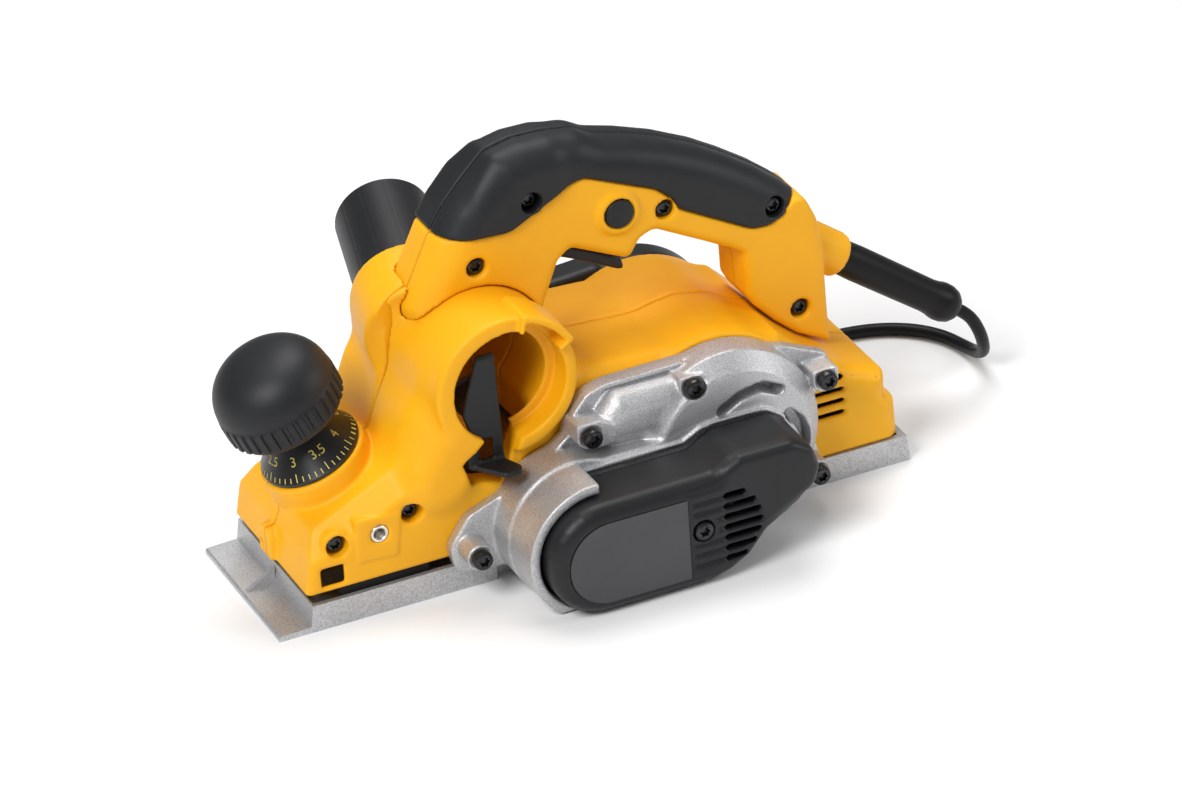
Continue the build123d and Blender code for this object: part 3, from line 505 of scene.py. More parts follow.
# ---------------------------------------------------------------- yellow housing
FRONT_BLOCK = rounded((-146, 10), (-141, 35, 3), (-136, 46, 6), (-92, 67, 4), (-60, 80), (-40, 60),
                      (-20, 30), (-50, 10))
TRUNK = rounded((-100, 40), (-94, 66, 6), (-85, 88, 16), (-79, 98, 12), (-74.5, 110, 8), (-68, 117, 3),
                (-60, 120, 4), (-20, 124, 4), (-6, 98), (-6, 60), (-14, 40), (-60, 24))
SADDLE = rounded((-20, 30), (-10, 97, 6), (8, 93.5, 10), (46, 91.3, 20), (64, 94.2, 15), (78, 91, 8),
                 (87, 86, 6), (98, 83, 4), (108, 73, 10), (119, 63.6, 10), (134, 54.6, 10),
                 (151.5, 48.5, 4), (151.5, 37.5, 3), (156, 32, 3), (157.3, 2), (0, 2))
FRONT_HOLLOW = rounded((-141, 0), (-138, 34), (-133, 43), (-94, 62), (-80, 62), (-80, 0))
REAR_HOLLOW = rounded((20, 0), (20, 60), (90, 76), (117, 60), (132, 51.5), (148.5, 45.5),
                      (148.5, 35), (153, 30), (153.5, 0))
PANEL = rounded((-118.7, 50.5, 1), (-95.9, 49.2, 1), (-98.9, 27.1, 1), (-119, 28.5, 1))
INSERT = (-107.2, 40.7)
# where the screws are, and the faces under their heads
HOUSING_SCREWS = [(-127.4, 39.0), (-90.5, 46.2)]
CASTING_SCREWS = [(-66.4, 25.0), (-8.5, 71.4), (43.2, 82.4), (110.0, 66.9), (104.1, 18.4)]
GRIP_SCREWS = [(-10.8, 171.2), (110.2, 134.7)]
HANDLE_SCREWS = GRIP_SCREWS + [(55.6, 148.2), (-38.8, 144.7), (120.9, 78.0)]
COVER_SCREW = (27.7, 30.4)
HOUSING_SEAT, HANDLE_SEAT, CASTING_SEAT, COVER_SEAT = -36.0, -10.5, -63.0, -98.0


def top_chamfer(x, y, z):
    """Wide chamfer from the front block's sloping top down to each side."""
    slope = 0.902 * (z - 46) - 0.431 * (x + 136)
    width = 10
    return (slope + np.abs(y) - BODY_HALF + width) * math.sqrt(0.5)


def housing_field(x, y, z):
    """Both halves of the yellow body, before the split along y = 0."""
    body = slab(flat(x, z, FRONT_BLOCK), y, -BODY_HALF, BODY_HALF, 3)
    body = meet(body, top_chamfer(x, y, z), 0.8)
    trunk = slab(flat(x, z, TRUNK), y, -BODY_HALF, BODY_HALF, 11 - 6 * np.clip(y / 14, -1, 1))
    body = join(body, trunk, 5)
    lobe = slab(path(x, z, [(-46, 98), (-60, 78), (-74, 60)], 15), y, -49, 0, 8)
    body = join(body, lobe, 8)
    saddle = slab(flat(x, z, SADDLE), y, -BODY_HALF, BODY_HALF, 9)
    barrel = slab(disc(x, z, MOTOR, 47.5), y, -BODY_HALF, 45, 2)
    body = join(body, join(saddle, barrel, 3), 6)
    body = join(body, slab(disc(x, z, HEAD, 34.6), y, -50, BODY_HALF, 1.6), 5)
    body = join(body, spool(x, y, z, KNOB_ORIGIN, KNOB_AXIS, -24, -4.5, 25.8, 1.0), 1.5)
    body = join(body, spool(x, y, z, TUBE_ORIGIN, TUBE_AXIS, -46, -12, 26, 1.5), 12)
    body = join(body, slab(flat(x, z, PANEL), y, -BODY_HALF - 0.9, -30, 0.5), 0.6)
    # boss with a small hole low on the front face
    boss = limit(np.hypot(y - 1, np.maximum(np.abs(z - 23.5) - 3, 0)) - 7.5, np.abs(x + 141) - 5.5, 1.5)
    body = join(body, boss, 1.5)
    body = carve(body, limit(np.hypot(y - 5, z - 22.5) - 2, np.abs(x + 146) - 9, 0.2))
    # chip port: rim, bayonet slot under a raised stretch of the rim, wide mouth, bore
    sector = flat(x, z, [(-40, 98), (-33, 140), (-8, 132), (-8, 118)])
    body = join(body, meet(slab(disc(x, z, HEAD, 37), y, -54, -30, 0.8), sector, 1), 1)
    body = carve(body, meet(slab(disc(x, z, HEAD, 33.4), y, -70, -40, 0.4), sector + 2.2, 0.6), 0.6)
    body = carve(body, slab(disc(x, z, (HEAD[0] + 1.2, HEAD[1]), 27.6), y, -70, -37, 0.5), 0.8)
    body = carve(body, slab(disc(x, z, HEAD, 24), y, -70, 30, 2), 1)
    return body


def housing_half(side):
    """The left half (side -1) or the right half (side +1) as a field."""
    def field(x, y, z):
        body = housing_field(x, y, z)
        inner = BODY_HALF - WALL
        hollow = slab(flat(x, z, FRONT_HOLLOW), y, -inner, inner, 1)
        body = carve(body, np.maximum(hollow, top_chamfer(x, y, z) + WALL), 1)
        body = carve(body, slab(flat(x, z, REAR_HOLLOW), y, -inner, inner, 1), 1)
        body = carve(body, slab(disc(x, z, MOTOR, 44.5), y, -60, 60, 0.2), 0.5)
        body = carve(body, slab(disc(x, z, DRUM_AXIS, 33), y, -60, 60, 0.2), 0.5)
        body = carve(body, box(x, y, z, (-60, -60, -10), (12, 60, 32)), 0.5)
        body = carve(body, box(x, y, z, (-64, -34, 40), (-26, 34, 100), 3), 3)
        body = carve(body, spool(x, y, z, TUBE_ORIGIN, TUBE_AXIS, -34, 30, 22.9, 0.3), 0.5)
        body = carve(body, spool(x, y, z, KNOB_ORIGIN, KNOB_AXIS, -40, 20, 5.5, 0.2), 0.5)
        # the handle stands in a pocket with a fine gap all round
        pocket = handle_slab(x, y, z, 0.3)
        pocket = np.maximum(pocket, -disc(x, z, HEAD, 35.6))
        body = carve(body, pocket, 0.5)
        if side < 0:
            # the diverter's gate, bosses behind the screws, a square slot and the rear vents
            gate = flat(x, z, [(-66, 66), (-47, 84), (-36, 74), (-46, 50), (-62, 54)])
            body = carve(body, slab(gate, y, OUTSIDE, -30, 1), 1)
            for place in HOUSING_SCREWS + [INSERT]:
                body = np.minimum(body, slab(disc(x, z, place, 7.5), y, -42.5, -28, 0.4))
            body = bore(body, x, y, z, INSERT, 4.5, -34, 0.1, 0.3)
            for place in HOUSING_SCREWS:
                body = bore(body, x, y, z, place, 5.2, HOUSING_SEAT, blend=0.6)
            body = carve(body, box(x, y, z, (-136.8, -60, 20.6), (-125.2, -30, 30.1), 0.4), 0.5)
            for row in range(4):
                low = 33.5 + row * 6
                body = carve(body, box(x, y, z, (112, -60, low), (128, -30, low + 2.6), 1.2), 0.5)
        # clear of the front shoe over its travel, and of the rear sole
        bottom = np.where(x < DRUM_AXIS[0], 18.2, 13.7)
        return np.maximum(np.maximum(body, bottom - z), SEAM - side * y)
    return field


# ---------------------------------------------------------------- handle and grip
HANDLE_HALF, GRIP_HALF, GRIP_SKIN = 16.5, 19.0, 3.5
SLEEVE = 6.4
HANDLE = rounded((-71, 121, 4), (-71.7, 128, 5), (-55, 161, 20), (-48, 171.5, 20), (-38.4, 182, 12),
                 (-26, 194, 10), (-12, 197, 12), (2, 196.8, 14), (18, 194.6, 16), (27, 189.2, 16),
                 (43, 184.6, 30), (61, 178, 30), (79.5, 169, 30), (93, 160.7, 30), (107, 151, 30),
                 (118, 142, 16), (127, 133.5, 16), (132, 122, 12), (134.5, 100, 20), (135.5, 56),
                 (119, 65), (108, 74.5), (98, 85.5), (94.5, 92), (94, 114.5, 2), (74, 125.8, 20),
                 (50, 138.9, 6), (43, 136, 5), (37, 127, 4), (8, 141, 4), (2, 136, 5), (-8, 112))
GRIP_REGION = rounded((-80, 162), (-44.5, 160.2, 4), (-22, 159, 12), (8, 174, 10), (16, 175.8, 6),
                      (50.8, 160.3, 8), (58, 154, 4), (62, 147, 4), (68, 143.6, 5), (98, 126.6, 12),
                      (108, 126, 8), (121, 135.5, 5), (140, 133), (140, 230), (-80, 230))
LOCK_PLACE = (31.8, 153.8)


def core_field(x, y, z):
    """What the grip is moulded round."""
    half = GRIP_HALF - GRIP_SKIN - 1.2
    return slab(handle_outline(x, y, z) + GRIP_SKIN, y, -half, half, 10)


def handle_outline(x, y, z):
    """Side outline of the handle, swept back towards the belt side at its front end."""
    fade = np.clip((-6 - x) / 34, 0, 1)
    return flat(x - 0.027 * np.minimum(y, 0) ** 2 * fade, z, HANDLE)


def grip_area(x, z):
    """Where the grip lies; it closes round the screws beside its lower edge."""
    holes = np.minimum.reduce([disc(x, z, place, 6.6) for place in GRIP_SCREWS])
    return np.minimum(flat(x, z, GRIP_REGION), holes)


def cut_holes(body, x, y, z, depth):
    """Recesses for the handle's screws."""
    for place in HANDLE_SCREWS:
        body = bore(body, x, y, z, place, 5.0, depth, blend=0.9)
    return body


def handle_slab(x, y, z, grow):
    """The handle's outer shape: its edges are round at the nose and crisp on the rear column."""
    nose, foot = np.clip((-22 - x) / 24, 0, 1), np.clip((x - 88) / 8, 0, 1)
    half = HANDLE_HALF + grow
    edge = np.where(y < 0, 5 + 1.5 * nose - 2 * foot, 5 - 1.5 * nose - 2 * foot)
    return slab(handle_outline(x, y, z) - grow, y, -half, half, edge)


def handle_half(side):
    """One yellow half of the handle, with the core that the grip is moulded round."""
    def field(x, y, z):
        body = np.maximum(handle_slab(x, y, z, 0), -grip_area(x, z))
        body = join(body, core_field(x, y, z), 0.5)
        collar = spool(x, y, z, GUARD_ORIGIN, GUARD_AXIS, -26, 0, 10.8, 1)
        body = join(body, collar, 3)
        body = carve(body, spool(x, y, z, GUARD_ORIGIN, GUARD_AXIS, -30, 20, 8.3, 0.2), 0.5)
        if side < 0:
            body = join(body, slab(disc(x, z, LOCK_PLACE, 10.2), y, -18.6, -8, 1.8), 3)
            body = bore(body, x, y, z, LOCK_PLACE, 7.3, -8, blend=0.6)
            body = cut_holes(body, x, y, z, -9.5)
            sleeves = np.minimum.reduce([disc(x, z, place, SLEEVE) for place in GRIP_SCREWS])
            body = np.maximum(body, -np.maximum(sleeves, y + 9.4))
        body = carve(body, box(x, y, z, (-3, -8.2, 110), (42, 8.2, 146), 1), 0.5)
        body = np.maximum(body, -disc(x, z, HEAD, 35.4))
        return np.maximum(body, SEAM - side * y)
    return field


def grip_half(side):
    """One half of the soft grip: crisp at its front face, crowned along the bar."""
    def field(x, y, z):
        crown = np.clip((x + 36) / 14, 0, 1)
        step = np.clip((x - 2) / 8, 0, 1)
        step = step * step * (3 - 2 * step)
        edge = np.where(y < 0, 7 + 6 * crown, 4 + 9 * crown)
        outer = limit(handle_outline(x, y, z), np.abs(y) - (GRIP_HALF - 1.2 * step), edge)
        region = grip_area(x, z)
        body = meet(outer, region + 0.15, 1.4)
        body = np.maximum(body, -(core_field(x, y, z) - 0.1))
        if side < 0:
            for place in GRIP_SCREWS:
                sleeve = slab(disc(x, z, place, SLEEVE), y, -16, -9.6, 0.2)
                body = np.minimum(body, sleeve)
            body = cut_holes(body, x, y, z, -10.6)
        return np.maximum(body, SEAM - side * y)
    return field


# ---------------------------------------------------------------- drive side casting
PLATE = rounded((-50, 10, 6), (-74, 12, 8), (-76, 26, 6), (-66, 40, 8), (-40, 50, 8), (-16, 68, 4),
                (-12, 79, 6), (-5, 87, 7), (4, 89.5, 8), (42, 90, 6), (62, 90, 4), (96, 82, 4), (118, 72, 4),
                (116, 58, 4), (104, 48, 4), (111, 20, 4), (106, 10, 4), (96, 6), (20, 6))
POD = rounded((-3, 64, 4), (-2, 77, 8), (6, 86.2, 7), (38, 86.2, 3), (46, 76), (42, 64), (30, 59.5, 4),
              (4, 60, 4))
SEAT = rounded((-19, 2), (70, 2), (84, 34), (88, 48), (76, 66, 6), (42, 64, 6), (20, 60), (-19, 60))
SLOTS = ([(55.5, 67), (65, 72), (76, 74), (84.5, 70)], [(89, 56), (94, 51), (97, 44), (97.5, 37)])
SQUARE_BOSSES = (rounded((-15, 66, 6), (-15, 78, 1), (-3, 78, 1), (6, 73, 0.8), (3, 65, 0.8),
                         (-5, 64.5, 5)),
                 rounded((36.8, 75.8, 6), (36.8, 87.5, 1), (50, 87.5, 1), (50, 75.8, 6)),
                 rounded((103.5, 60.4, 6), (103.5, 71.5, 1), (116.5, 71.5, 1), (116.5, 60.4, 6)))


def casting_field(x, y, z):
    """Die-cast housing of the belt drive: plate and rim, motor disc, pod, drum wall and bosses."""
    plate = flat(x, z, PLATE)
    body = slab(plate, y, -50.5, -BODY_HALF, 1)
    rim = slab(np.abs(plate + 1.0) - 1.0, y, -53, -BODY_HALF, 0.5)
    rim = np.maximum(rim, np.maximum(48 - z, x - 44))
    body = join(body, rim, 0.5)
    body = join(body, slab(flat(x, z, SEAT), y, DRIVE_FACE, -BODY_HALF, 1.2), 1.5)
    body = join(body, slab(disc(x, z, DRUM_AXIS, 35), y, DRIVE_FACE, -BODY_HALF, 1.6), 1.5)
    body = join(body, bevel(disc(x, z, MOTOR, 46), y, DRIVE_FACE, -BODY_HALF, 8), 1)
    body = join(body, slab(flat(x, z, POD), y, -63, -40, 10), 2.5)
    for place in (CASTING_SCREWS[0], CASTING_SCREWS[4]):
        body = join(body, slab(disc(x, z, place, 6.5), y, CASTING_SEAT, -BODY_HALF, 0.8), 1)
    for boss in SQUARE_BOSSES:
        body = join(body, slab(flat(x, z, boss), y, CASTING_SEAT, -BODY_HALF, 0.6), 0.8)
    lip = slab(np.abs(flat(x, z, COVER) - 1.2) - 0.9, y, DRIVE_FACE - 2, DRIVE_FACE + 6, 0.4)
    body = join(body, np.maximum(lip, 50 - z), 0.4)
    wall = np.maximum(disc(x, z, DRUM_AXIS, 34), -disc(x, z, DRUM_AXIS, 29.2))
    wall = np.maximum(wall, x - (DRUM_AXIS[0] + 2))
    body = join(body, slab(wall, y, -89, DRIVE_FACE + 4, 0.9), 1)
    for points in SLOTS:
        body = carve(body, slab(path(x, z, points, 2.7), y, -80, -55, 0.4), 0.5)
    # bearing seats from inside and the shafts' holes
    for axle in (DRUM_AXIS, MOTOR):
        body = carve(body, slab(disc(x, z, axle, 13), y, -56, -40, 0.2), 0.3)
        body = carve(body, slab(disc(x, z, axle, 8), y, -70, -40, 0.2), 0.3)
    for place in CASTING_SCREWS:
        body = bore(body, x, y, z, place, 5.4, CASTING_SEAT + 0.6, blend=0.4)
    # clear of the sole and of the front shoe over its travel
    body = carve(body, box(x, y, z, (-90, -45.2, -5), (170, -40, 13.8), 0.2), 0.3)
    body = carve(body, box(x, y, z, (-90, -45.6, -5), (-46, -40, 18.6), 0.2), 0.3)
    return np.maximum(body, 0.8 - z)


# ---------------------------------------------------------------- belt cover
COVER = rounded((-46.6, 0.8, 27.3), (-46.6, 56, 27.3), (34.8, 56.6, 4), (44, 61.4, 6), (52, 62.5, 6),
                (76, 62, 9), (85, 56, 7), (88, 46, 6), (86, 38, 8), (78, 29.5, 10), (61, 19.5, 10),
                (52, 9, 12), (42, 3.5, 12), (32, 0.8, 10))
LOBE = rounded((36, 48, 4), (40, 58, 5), (48, 62.4, 6), (76, 62, 9), (85, 56, 7), (88, 46, 6),
               (85, 37, 8), (60, 24, 8), (40, 34, 8))
LABEL_AREA = rounded((-38.9, 7.2, 20.5), (-38.9, 48.4, 20.5), (20.5, 48.4), (20.5, 7.2))
GRILLE, GRILLE_RADIUS = (36.9, 28.6), 20.5


def cover_field(x, y, z):
    """Belt cover: shell with a raised front, label area, grille and screw boss."""
    shape = flat(x, z, COVER)
    body = slab(shape, y, COVER_FACE + 0.6, DRIVE_FACE, 7)
    body = join(body, slab(flat(x, z, LOBE), y, COVER_FACE, DRIVE_FACE, 4), 1.2)
    body = join(body, slab(shape + 6.5, y, COVER_FACE, DRIVE_FACE, 1.5), 0.6)
    body = carve(body, slab(shape + 3, y, COVER_FACE + 4.5, DRIVE_FACE + 5, 4), 1)
    body = carve(body, slab(flat(x, z, LABEL_AREA) - 0.3, y, COVER_FACE - 4, COVER_FACE + 1, 0.2), 0.3)
    for row in range(-3, 4):
        height = GRILLE[1] + row * 5.4
        reach = math.sqrt(GRILLE_RADIUS ** 2 - (height - GRILLE[1]) ** 2)
        low, high = (GRILLE[0] + 1.5, OUTSIDE, height - 1.6), (GRILLE[0] + reach, -93, height + 1.6)
        body = carve(body, box(x, y, z, low, high, 1), 0.5)
        low = (GRILLE[0] - 14.5, OUTSIDE, height - 0.7)
        high = (GRILLE[0] + 3, COVER_FACE + 1.2, height + 0.7)
        body = carve(body, box(x, y, z, low, high, 0.1), 0.2)
    body = join(body, slab(disc(x, z, COVER_SCREW, 7), y, COVER_FACE, -90, 0.8), 0.8)
    body = bore(body, x, y, z, COVER_SCREW, 5.3, COVER_SEAT, blend=0.4)
    arrow = path(x, z, [(-43.5, 22), (-43.5, 34), (-41, 40)], 0.35)
    return carve(body, slab(arrow, y, OUTSIDE, COVER_FACE + 0.8, 0.1), 0.2)


# ---------------------------------------------------------------- other black parts
def trigger_field(x, y, z):
    """Finger blade of the trigger and the block behind it."""
    blade = rounded((2.5, 136), (8.5, 139), (36, 124.8, 1), (37.5, 118.5, 2), (33.5, 119.5, 2),
                    (8, 133, 6))
    block = rounded((4, 134), (36, 121), (36, 134), (12, 147), (4, 147))
    return join(slab(flat(x, z, blade), y, -7.5, 7.5, 1.5), slab(flat(x, z, block), y, -6.5, 6.5, 1), 1)


def motor_cover_field(x, y, z):
    """Cover over the motor's right end, with a ring of slots."""
    tall = rounded((17, 40), (17, 90, 4), (46, 92, 4), (80, 80, 4), (60, 20))
    body = slab(np.minimum(disc(x, z, MOTOR, 46), flat(x, z, tall)), y, BODY_HALF + 0.1, 63, 5)
    body = carve(body, slab(disc(x, z, MOTOR, 42), y, 30, 57, 2), 1)
    body = join(body, slab(np.maximum(disc(x, z, MOTOR, 14), -disc(x, z, MOTOR, 11)), y, 48, 58, 0.4), 1)
    angle = np.arctan2(z - MOTOR[1], x - MOTOR[0])
    out = disc(x, z, MOTOR, 0)
    spoke = np.abs(np.mod(angle, math.pi / 6) - math.pi / 12) * out - 1.7
    slots = np.maximum(spoke, np.abs(out - 28) - 8)
    body = carve(body, slab(slots, y, 50, 80, 0.3), 0.6)
    return carve(body, box(x, y, z, (0, 40, -5), (160, 45.3, 13.8), 0.2), 0.3)


def diverter_field(x, y, z):
    """Lever plate in the port, with its window, foot and pin."""
    lever = rounded((-55, 117, 2), (-46, 117, 2), (-44.8, 74), (-44.5, 62, 1), (-62.5, 62, 1),
                    (-63, 74, 3), (-60.5, 80, 3), (-63.4, 90, 4))
    body = slab(flat(x, z, lever), y, -46.8, -44.6, 0.6)
    window = rounded((-56.5, 75.5, 2.5), (-49.5, 75.5, 2.5), (-49.8, 64.5, 1), (-56.2, 64.5, 1))
    body = carve(body, slab(flat(x, z, window), y, -50, -40, 0.2), 0.4)
    plate = rounded((-62.5, -44.6), (-50.5, -61.5, 2), (-43, -61.8, 2), (-40.8, -57, 2), (-46, -44.6))
    foot = limit(flat(x, y, plate), np.abs(z - 62.5) - 1.3, 0.6)
    pin = limit(np.hypot(y + 45.5, z - 116) - 1.9, np.abs(x + 50.5) - 4.5, 0.3)
    return join(join(body, foot, 2), pin, 0.5)


def tube_ripple(height, radius, angle):
    """Fine lines along the outside of the chip tube."""
    return -0.12 if radius > 22.5 and math.cos(angle * 12) > 0.985 else 0.0


def make_black_parts():
    """Trigger, motor cover, diverter lever, lock button, chip tube and cord guard."""
    solid("trigger_lever", trigger_field, (0, -8, 116), (40, 8, 148), 0.7, BLACK, TRIGGER, ["trigger"])
    solid("motor_end_cover", motor_cover_field, (14, 43, -1), (109, 64, 94), 1.0, BLACK, BODY,
          ["right_motor_cover"])
    solid("diverter_lever", diverter_field, (-65, -63, 58), (-37, -43, 119), 0.6, BLACK, DIVERTER,
          ["chip_diverter"])
    lathe("lock_knob", [(-9, 7.0), (1.0, 7.0), (1.6, 6.6), (1.8, 6.0), (1.7, 0.01)],
          (LOCK_PLACE[0], -17.5, LOCK_PLACE[1]), (0, -1, 0), GRIP, LOCK, ["lock_button"])
    lathe("chip_outlet", [(-20, 22.9), (0, 22.9), (20, 22.88), (41.6, 22.8), (42.5, 22.1), (42.5, 21.0),
                          (42.0, 20.5), (-20, 20.4)], TUBE_ORIGIN, TUBE_AXIS, BLACK, BODY, ["chip_tube"],
          segments=288, ripple=tube_ripple, closed=True)
    lathe("tube_rim_line", [(-12.4, 23.8), (-11.8, 23.6), (-11.7, 22.95), (-12.4, 22.95)],
          TUBE_ORIGIN, TUBE_AXIS, BLACK, BODY, closed=True)
    guard = [(-30, 8.2), (1, 8.2), (6, 8.45), (12, 8.6), (35, 8.4), (57, 8.2), (61, 8.5), (64, 9.2),
             (66, 9.4), (69, 9.2), (72, 8.3), (74.3, 6.6), (75, 5.5), (75, 3.3), (-30, 3.3)]
    lathe("cord_sleeve", guard, GUARD_ORIGIN, GUARD_AXIS, RUBBER, BODY, ["cord_guard"],
          closed=True, segments=64, sharp=60)


# ---------------------------------------------------------------- depth knob and scale
# the scale's cone, as (distance along the knob's axis, radius)
CONE_FOOT, CONE_TOP = (-1.9, 24.0), (11.0, 14.0)
NUMERAL_CLIMB, NUMERAL_SIZE = 7.6, 6.4
PRINT_RISE = 0.12


def knob_ripple(height, radius, angle):
    """Grooves between the ribs round the knob's skirt."""
    if not 22.4 < height < 34 or radius < 26:
        return 0.0
    return -0.9 if math.cos(angle * 34) > 0.45 else 0.0


def make_knob():
    """Ribbed knob with a domed top, and the scale's cone under it."""
    dome = [(34.4 + 21.4 * math.sin(a), 28.7 * math.cos(a) ** 0.76)
            for a in (math.radians(5.5 * n) for n in range(1, 17))] + [(55.8, 0.01)]
    profile = [(19.2, 5.5), (19.2, 25.6), (19.6, 26.4), (20.6, 26.9), (22.3, 27.4), (22.5, 29.0),
               (26, 29.15), (31.5, 29.2), (33, 29.1), (34.1, 28.9), (34.4, 28.7)] + dome
    lathe("depth_dial", profile, KNOB_ORIGIN, KNOB_AXIS, GRIP, KNOB_BODY, ["depth_knob"],
          segments=408, ripple=knob_ripple, sharp=32)
    cone = [(-4, 5.2), (-4, 24.0), (-3.6, 24.3), (-2.2, 24.3), CONE_FOOT, CONE_TOP, (19, 14), (19, 5.2)]
    lathe("scale_cone", cone, KNOB_ORIGIN, KNOB_AXIS, SCALE, KNOB_BODY, ["scale_ring"],
          closed=True, segments=128)
    make_marks()


def on_cone(angle, climb):
    """Point just off the scale's cone, climb measured up its slope from the lower edge."""
    u, v, w = basis(KNOB_AXIS)
    slope = (Vector(CONE_TOP) - Vector(CONE_FOOT)).normalized()
    height = CONE_FOOT[0] + climb * slope.x - PRINT_RISE * slope.y
    radius = CONE_FOOT[1] + climb * slope.y + PRINT_RISE * slope.x
    return Vector(KNOB_ORIGIN) + w * height + (u * math.cos(angle) + v * math.sin(angle)) * radius


def make_marks():
    """Numerals from 0 to 4 and the ticks between them, as a thin raised print."""
    points, faces = [], []
    step = math.radians(39)
    # the seventh numeral, 3, faces forwards on the belt side
    first = math.radians(-128) - 6 * step
    # radius lost per millimetre climbed
    shrink = 0.61
    for number in range(9):
        curve = bpy.data.curves.new("numeral", "FONT")
        curve.body = f"{number / 2:g}"
        curve.size = NUMERAL_SIZE
        curve.align_x = "CENTER"
        curve.resolution_u = 3
        text = bpy.data.objects.new("numeral", curve)
        mesh = bpy.data.meshes.new_from_object(text)
        start = len(points)
        middle = first + number * step
        for vertex in mesh.vertices:
            climb = NUMERAL_CLIMB + vertex.co.y
            radius = CONE_FOOT[1] - shrink * climb
            points.append(on_cone(middle + vertex.co.x / radius, climb))
        faces += [[start + i for i in face.vertices] for face in mesh.polygons]
        bpy.data.objects.remove(text)
        bpy.data.meshes.remove(mesh)
        bpy.data.curves.remove(curve)
    low, half = 0.2, 0.22 / 23
    for tick in range(-4, 45):
        angle = first + tick * step / 5
        top = 4.2 if tick % 5 == 0 else 2.6
        start = len(points)
        for a, climb in ((angle - half, low), (angle + half, low), (angle + half, top), (angle - half, top)):
            points.append(on_cone(a, climb))
        faces.append([start, start + 1, start + 2, start + 3])
    build("scale_marks", points, faces, MARKS, KNOB_BODY, smooth=False)


# ---------------------------------------------------------------- screws
def make_screws(name, places, seat, replaced, shank, head=4.7):
    """Pan heads with a six-lobed recess, all facing the belt side."""
    segments, lobe = 48, 0.35
    # rise above the seat, radius and depth of the six lobes
    rings = [(-shank, 2.0, 0), (0, 2.0, 0), (0, head, 0), (2.6, head, 0), (3.5, head - 0.4, 0),
             (3.9, head - 1.1, 0), (3.9, 2.3, lobe), (2.0, 2.2, lobe), (1.9, 0.01, 0)]
    points, faces = [], []
    for px, pz in places:
        base = len(points)
        for rise, radius, depth in rings:
            for step in range(segments):
                angle = 2 * math.pi * step / segments
                r = radius + depth * math.cos(6 * angle)
                points.append((px + r * math.cos(angle), seat - rise, pz + r * math.sin(angle)))
        faces += ring_faces(base, len(rings), segments)
    build(name, points, faces, OXIDE, BODY, replaced, sharp=35)


def make_insert():
    """Bright threaded insert, open through its bore."""
    rings = [(0, 4.4), (10.0, 4.4), (10.4, 4.0), (10.4, 3.1), (10.0, 2.75)]
    thread = [(9.6 - 0.5 * n, 2.7 + 0.25 * (n % 2)) for n in range(20)]
    lathe("threaded_insert", rings + thread, (INSERT[0], -34, INSERT[1]), (0, -1, 0), ZINC, BODY,
          ["fence_insert"], segments=48, closed=True)


# ---------------------------------------------------------------- finishes of the pieces kept from the CAD
def finish_cad():
    """Procedural materials on the CAD nodes that stay visible."""
    finishes = {
        CAST: ["front_shoe", "base_casting", "guide_block", "cutter_drum", "blade_clamps"],
        STEEL: ["drum_shaft", "motor_shaft", "depth_screw", "planer_blades", "drum_nut", "drum_bearing_left",
                "drum_bearing_right", "motor_bearing_left", "motor_bearing_right", "armature",
                "stator_core", "brush_springs"],
        BLACK: ["switch_body", "brush_holders", "cooling_fan", "drum_pulley", "motor_pulley"],
        LABEL: ["cover_label"],
        RUBBER: ["shoe_seal", "drive_belt", "coil_tie"],
        BRASS: ["commutator"],
        COPPER: ["field_coils"],
        CARBON: ["carbon_brushes"],
    }
    for material, names in finishes.items():
        for name in names:
            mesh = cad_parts[name].data
            mesh.materials.clear()
            mesh.materials.append(material)


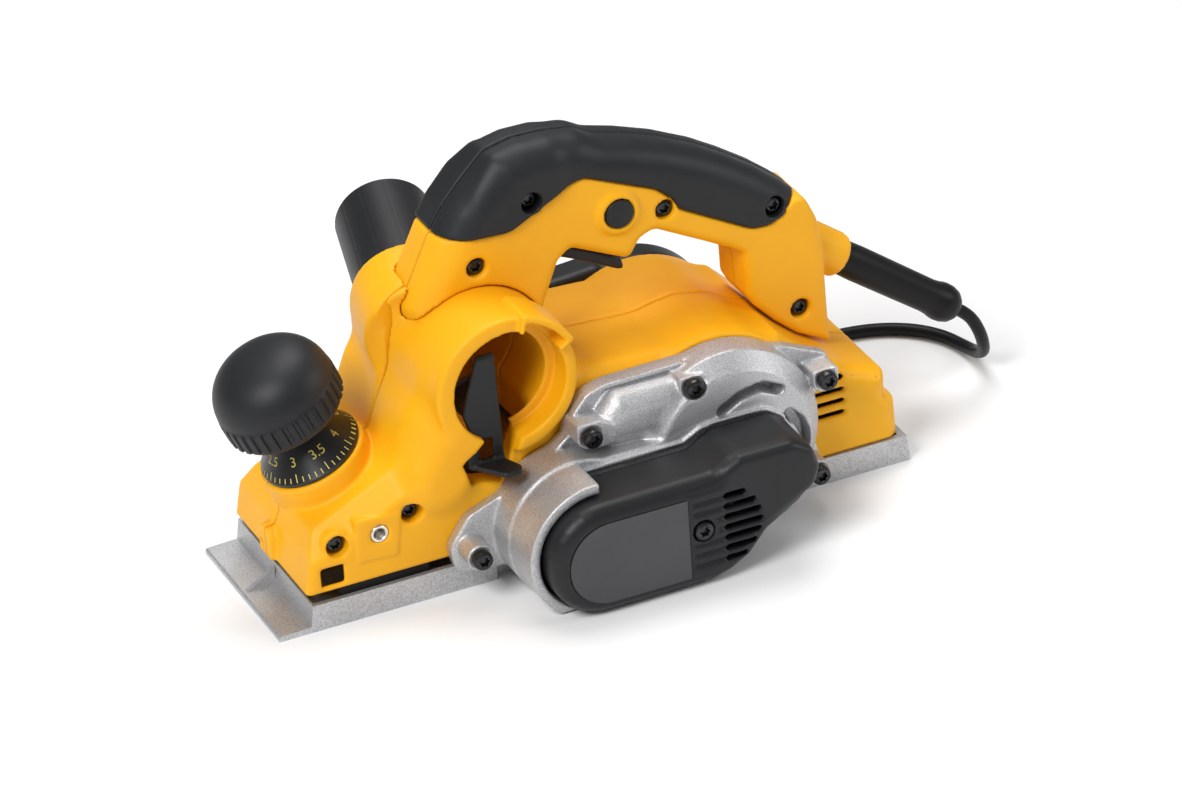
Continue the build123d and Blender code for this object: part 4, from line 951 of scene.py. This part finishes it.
# ---------------------------------------------------------------- stage
def make_stage():
    """Pale floor, soft boxes and a pale surrounding light."""
    material, nodes, links, shader = principled("floor", (0.86, 0.86, 0.86), 0.9)
    links.new(ramp(nodes, links, noise(nodes, links, 3.0), (0.85,) * 3, (0.87,) * 3),
              shader.inputs["Base Color"])
    mesh = bpy.data.meshes.new("floor")
    reach = 12.0
    mesh.from_pydata([(-reach, -reach, 0), (reach, -reach, 0), (reach, reach, 0), (-reach, reach, 0)], [],
                     [(0, 1, 2, 3)])
    mesh.materials.append(material)
    floor = bpy.data.objects.new("floor", mesh)
    bpy.context.scene.collection.objects.link(floor)
    world = bpy.data.worlds.new("studio")
    world.use_nodes = True
    world.node_tree.nodes["Background"].inputs["Color"].default_value = (0.97, 0.98, 1.0, 1)
    world.node_tree.nodes["Background"].inputs["Strength"].default_value = 0.3
    bpy.context.scene.world = world
    lamps = (("key", (-1.1, -0.7, 1.4), 0.7, 24), ("side", (1.3, -0.7, 0.8), 0.6, 6),
             ("top", (0.2, 0.5, 1.6), 1.0, 17))
    for name, place, size, power in lamps:
        data = bpy.data.lights.new(name, "AREA")
        data.energy, data.size = power, size
        lamp = bpy.data.objects.new(name, data)
        lamp.location = place
        lamp.rotation_euler = (Vector((0, 0, 0.08)) - Vector(place)).to_track_quat("-Z", "Y").to_euler()
        bpy.context.scene.collection.objects.link(lamp)
    bpy.context.scene.view_settings.view_transform = "Standard"


# ---------------------------------------------------------------- build
make_camera()
make_cord()
make_stage()
finish_cad()
CELL = 1.1
FINE = 0.8
solid("housing_shell_left", housing_half(-1), (-146, -54, 12), (158, 0, 138), CELL, YELLOW, BODY,
      ["housing_left"])
solid("housing_shell_right", housing_half(1), (-146, 0, 12), (158, 50, 146), CELL, YELLOW, BODY,
      ["housing_right"])
for hand, side in (("left", -1), ("right", 1)):
    y0, y1 = sorted((0, side * 20))
    solid(f"handle_shell_{hand}", handle_half(side), (-74, y0, 54), (152, y1, 196), CELL, YELLOW, BODY,
          [f"handle_{hand}"])
    solid(f"grip_shell_{hand}", grip_half(side), (-60, y0, 122), (130, y1, 198), CELL, GRIP, BODY,
          [f"grip_{hand}"])
solid("drive_side_casting", casting_field, (-78, -90, 0), (120, -43, 94), FINE, CAST, BODY,
      ["drive_casting"])
solid("belt_guard", cover_field, (-48, -102, 0), (90, -65, 64), FINE, BLACK, BODY, ["belt_cover"])
make_black_parts()
make_knob()
make_screws("casting_screw_set", CASTING_SCREWS, CASTING_SEAT, ["casting_screws"], 20)
make_screws("handle_screw_set", HANDLE_SCREWS, HANDLE_SEAT, ["handle_screws"], 16, 3.9)
make_screws("housing_screw_set", HOUSING_SCREWS, HOUSING_SEAT, ["housing_screws"], 8, 4.2)
make_screws("cover_screw_piece", [COVER_SCREW], COVER_SEAT, ["cover_screw"], 14)
make_insert()
